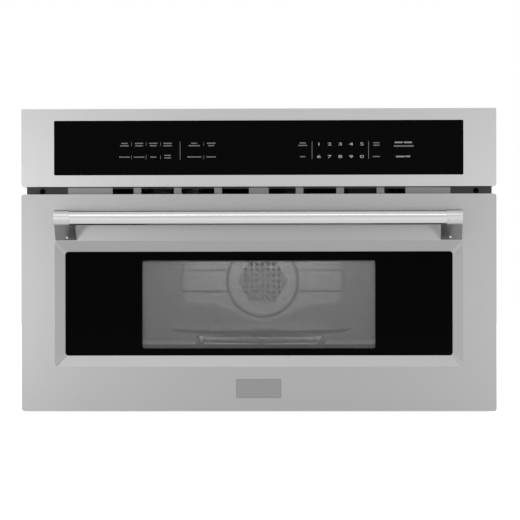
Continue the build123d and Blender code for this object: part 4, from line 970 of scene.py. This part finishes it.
@dataclass
class Chassis:
    """Sheet metal body with its front frame, vent grille and fasteners."""

    wardrobe: Wardrobe
    edge_inset: float = 14.0 * MM
    screw_pitch: float = 150.0 * MM
    cabinet_inset: float = 25.5 * MM
    cabinet_z: float = 356.0 * MM
    cabinet_head: float = 4.7 * MM
    head_share: float = 0.4
    recess_share: float = 0.28
    front_clear: float = 60.0 * MM
    faces: tuple[tuple[str, int, int], ...] = (
        ("rear_panel", 1, 1), ("side_panel_left", 0, -1), ("side_panel_right", 0, 1))

    def build(self) -> None:
        """Set the screws of the rear and side panels, and those into the cabinet."""
        points: list[Vector] = []
        ways: list[Vector] = []
        for node, axis, sign in self.faces:
            for place in self._edge_places(node, axis):
                way = Vector((0.0, 0.0, 0.0))
                way[axis] = sign
                place[axis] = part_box(node)[1 if sign > 0 else 0][axis]
                points.append(place)
                ways.append(way)
        material = self.wardrobe.material(Finish.BRIGHT_STEEL)
        mesh = Fasteners().tree().grow("panel_screws", points, {"out": ways}, material)
        add_piece("panel_screws", mesh, "cabinet")
        self._cabinet_screws()

    def _cabinet_screws(self) -> None:
        """Black screws in the two holes of the front frame's wings."""
        low, high = (Vector(corner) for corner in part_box("front_frame"))
        heads = Fasteners(self.cabinet_head, self.cabinet_head * self.head_share,
                          self.cabinet_head * self.recess_share)
        columns = (low.x + self.cabinet_inset, high.x - self.cabinet_inset)
        points = [Vector((x, low.y, self.cabinet_z)) for x in columns]
        ways = [Vector((0.0, -1.0, 0.0))] * len(points)
        material = self.wardrobe.material(Finish.BLACK_OXIDE)
        mesh = heads.tree().grow("cabinet_screws", points, {"out": ways}, material)
        add_piece("cabinet_screws", mesh, "cabinet")

    def dress(self) -> None:
        """Put the finishes on the chassis nodes."""
        self.wardrobe.dress(Finish.ZINC, "base_pan", "top_panel", "hinge_brackets")
        self.wardrobe.dress(Finish.SHELL, "side_panel_left", "side_panel_right", "rear_panel")
        self.wardrobe.dress(Finish.FRAME_PAINT, "front_frame", "component_shelf")
        self.wardrobe.dress(Finish.GRILLE_PAINTED_SHADE, "vent_grille")
        self.wardrobe.dress(Finish.BLACK_PLASTIC, "mains_inlet", "latch_switches")
        self.wardrobe.dress(Finish.BOARD, "noise_filter")

    def _edge_places(self, node: str, axis: int) -> list[Vector]:
        """Places for screws along the top and bottom edges of an upright panel.

        Args:
            node: The panel.
            axis: The axis that the panel faces along.

        Returns:
            One place for each screw, still without its place on that axis.
        """
        low, high = (Vector(corner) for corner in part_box(node))
        run = 1 if axis == 0 else 0
        first, last = low[run] + self.edge_inset, high[run] - self.edge_inset
        if axis == 0:
            first += self.front_clear
        count = max(2, round((last - first) / self.screw_pitch) + 1)
        places = []
        for level in (low.z + self.edge_inset, high.z - self.edge_inset):
            for index in range(count):
                place = Vector((0.0, 0.0, level))
                place[run] = first + (last - first) * index / (count - 1)
                places.append(place)
        return places


@dataclass
class OvenCavity:
    """Enamelled cavity with the fan cover, turntable and lamp."""

    wardrobe: Wardrobe

    def dress(self) -> None:
        """Put the finishes on the cavity's nodes."""
        self.wardrobe.dress(Finish.CAVITY, "cavity_floor", "cavity_ceiling", "cavity_side_left",
                            "cavity_side_right")
        self.wardrobe.dress(Finish.CAVITY_BACK, "cavity_back")
        self.wardrobe.dress(Finish.COVER_ENAMEL, "fan_cover")
        self.wardrobe.dress(Finish.MICA, "waveguide_cover")
        self.wardrobe.dress(Finish.TURNTABLE_GLASS, "turntable_plate")
        self.wardrobe.dress(Finish.GREY_PLASTIC, "turntable_coupler", "roller_ring", "roller_1", "roller_2",
                            "roller_3")
        self.wardrobe.dress(Finish.LAMP_GLASS, "lamp_lens", "lamp_bulb")
        self.wardrobe.dress(Finish.ALUMINISED, "lamp_housing")


@dataclass
class Machinery:
    """Hidden microwave, hot-air, cooling and turntable drives."""

    wardrobe: Wardrobe

    def dress(self) -> None:
        """Put the finishes on the machinery's nodes."""
        self.wardrobe.dress(Finish.ALUMINISED, "waveguide")
        self.wardrobe.dress(Finish.HOT_AIR_ENAMEL, "convection_housing")
        self.wardrobe.dress(Finish.FAN_ENAMEL, "convection_fan")
        self.wardrobe.dress(Finish.ALUMINIUM, "magnetron")
        self.wardrobe.dress(Finish.FRAME_PAINT, "capacitor")
        self.wardrobe.dress(Finish.BRIGHT_STEEL, "convection_heater", "thermostats")
        self.wardrobe.dress(Finish.LAMINATIONS, "convection_motor", "turntable_motor", "power_transformer",
                            "blower_motor")
        self.wardrobe.dress(Finish.BLACK_PLASTIC, "blower_housing", "blower_wheel")


@dataclass
class Door:
    """Drop-down door: stainless skin, printed window, screen, inner pan and hinges."""

    wardrobe: Wardrobe
    window_half: float = 186.8 * MM
    window_low: float = 102.7 * MM
    window_high: float = 243.9 * MM
    window_corner: float = 3.0 * MM
    window_clear: float = 0.93
    screen_colour: Colour = (0.30, 0.30, 0.30)
    screen_margin: float = 6.0 * MM

    def dress(self) -> None:
        """Put the finishes on the door's nodes."""
        window = TintedWindow("door_window_glass", self.window_half, self.window_low, self.window_high,
                              self.window_corner, self.window_clear)
        margin = self.screen_margin
        screen = PunchedScreen("door_punched_screen", self.screen_colour, self.window_half + margin,
                               self.window_low - margin, self.window_high + margin)
        self.wardrobe.dress(Finish.STAINLESS, "door_skin")
        self.wardrobe.dress(window, "door_glass")
        self.wardrobe.dress(screen, "door_screen")
        self.wardrobe.dress(Finish.DOOR_ENAMEL, "door_frame")
        self.wardrobe.dress(Finish.CLEAR_GLASS, "door_inner_glass")
        self.wardrobe.dress(Finish.BLACK_PLASTIC, "choke_cover")
        self.wardrobe.dress(Finish.ZINC, "hinge_clevises")
        self.wardrobe.dress(Finish.BRIGHT_STEEL, "hinge_pins", "latch_hooks")
        self.wardrobe.dress(Finish.NAME_PLATE, "name_plate")


@dataclass
class Handle:
    """Round bar in two end brackets with set screws."""

    wardrobe: Wardrobe

    def dress(self) -> None:
        """Put the finishes on the handle's nodes."""
        self.wardrobe.dress(Finish.HANDLE, "handle_bar")
        self.wardrobe.dress(Finish.BRACKET, "handle_bracket_left", "handle_bracket_right")
        self.wardrobe.dress(Finish.BRACKET, "handle_set_screws")


@dataclass(frozen=True)
class Softbox:
    """A rectangular lamp: its place, the point that it faces, its width and height, and its power."""

    name: str
    place: tuple[float, float, float]
    aim: tuple[float, float, float]
    size: tuple[float, float]
    watts: float

    def hang(self) -> None:
        """Add the lamp to the scene."""
        light = bpy.data.lights.new(self.name, "AREA")
        light.shape = "RECTANGLE"
        light.size, light.size_y = self.size
        light.energy = self.watts
        lamp = bpy.data.objects.new(self.name, light)
        lamp.location = self.place
        lamp.rotation_euler = (Vector(self.aim) - Vector(self.place)).to_track_quat("-Z", "Y").to_euler()
        bpy.context.scene.collection.objects.link(lamp)


@dataclass
class Studio:
    """White floor and surroundings, soft lamps and the camera at the photograph's angle."""

    aim: Vector = field(default_factory=lambda: Vector((2.4, -241.65, 244.5)) * MM)
    distance: float = 3.0
    yaw: float = math.radians(1.0)
    roll: float = math.radians(-0.09)
    view_width: float = 830.7 * MM
    floor_half: float = 4.0
    sensor: float = 36.0
    sky_light: float = 0.55
    sky_seen: float = 0.45
    floor_seen: float = 0.7
    floor_camera: float = 0.1
    lamps: tuple[Softbox, ...] = (
        Softbox("key_softbox", (-1.0, -2.5, 2.0), (0.0, -0.24, 0.3), (1.6, 1.2), 2.4),
        Softbox("handle_strip", (0.0, -1.7, 1.72), (0.0, -0.29, 0.31), (2.4, 0.35), 4.6),
        Softbox("left_softbox", (-1.3, -3.0, 0.2), (-0.38, -0.24, 0.17), (0.7, 0.36), 7.2),
        Softbox("right_softbox", (1.3, -3.0, 0.2), (0.38, -0.24, 0.17), (0.7, 0.36), 5.0),
        Softbox("cavity_glow", (0.0, -0.13, 0.318), (0.0, 0.15, 0.16), (0.3, 0.05), 2.7))

    def build(self) -> None:
        """Make the surroundings, floor, lamps and camera."""
        bpy.context.scene.view_settings.view_transform = "Standard"
        self._surroundings()
        self._floor()
        for lamp in self.lamps:
            lamp.hang()
        self._camera()

    def _surroundings(self) -> None:
        """White to look at, and a plain soft light on everything."""
        world = bpy.data.worlds.new("studio")
        bpy.context.scene.world = world
        world.use_nodes = True
        tree = NodeTree(world.node_tree)
        level = tree.seen_directly() * self.sky_seen + self.sky_light
        white = (1.0, 1.0, 1.0, 1.0)
        background = tree.node("ShaderNodeBackground", None, {"Strength": level, "Color": white})
        output = tree.node("ShaderNodeOutputWorld")
        tree.links.new(background.outputs[0], output.inputs["Surface"])

    def _floor(self) -> None:
        """A pale floor that keeps the object's shadow."""
        mesh = bpy.data.meshes.new("floor")
        signs = ((-1, -1), (1, -1), (1, 1), (-1, 1))
        corners = [(x * self.floor_half, y * self.floor_half, 0.0) for x, y in signs]
        mesh.from_pydata(corners, [], [(0, 1, 2, 3)])
        tree = ShaderTree("pale_floor")
        dust = tree.noise(6.0)
        lift = tree.seen_directly() * self.floor_seen + tree.seen_by_camera() * self.floor_camera
        mesh.materials.append(tree.surface(
            Base_Color=tree.blend(dust, (0.80, 0.80, 0.80), (0.83, 0.83, 0.83)), Roughness=dust * 0.1 + 0.7,
            Emission_Color=tree.blend(lift, (0.0, 0.0, 0.0), (1.0, 1.0, 1.0)), Emission_Strength=1.0,
            Specular_IOR_Level=0.1))
        floor = bpy.data.objects.new("floor", mesh)
        bpy.context.scene.collection.objects.link(floor)

    def _camera(self) -> None:
        """A long lens straight at the face, a little to its right."""
        data = bpy.data.cameras.new("camera")
        data.sensor_width = self.sensor
        data.lens = self.sensor * self.distance / self.view_width
        data.clip_end = 50.0
        camera = bpy.data.objects.new("camera", data)
        away = Vector((math.sin(self.yaw), -math.cos(self.yaw), 0.0)) * self.distance
        turn = (-away).to_track_quat("-Z", "Y").to_matrix() @ Matrix.Rotation(self.roll, 3, "Z")
        camera.location = self.aim + away
        camera.rotation_euler = turn.to_euler()
        bpy.context.scene.collection.objects.link(camera)
        bpy.context.scene.camera = camera


def main() -> None:
    """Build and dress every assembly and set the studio."""
    logging.basicConfig(level=logging.INFO, format="%(name)s: %(message)s")
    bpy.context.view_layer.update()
    wardrobe = Wardrobe()
    for assembly in (Chassis(wardrobe), ControlPanel(wardrobe), OvenCavity(wardrobe), Machinery(wardrobe),
                     Door(wardrobe), Handle(wardrobe)):
        if hasattr(assembly, "build"):
            assembly.build()
        assembly.dress()
    Studio().build()


if __name__ == "__main__":
    main()
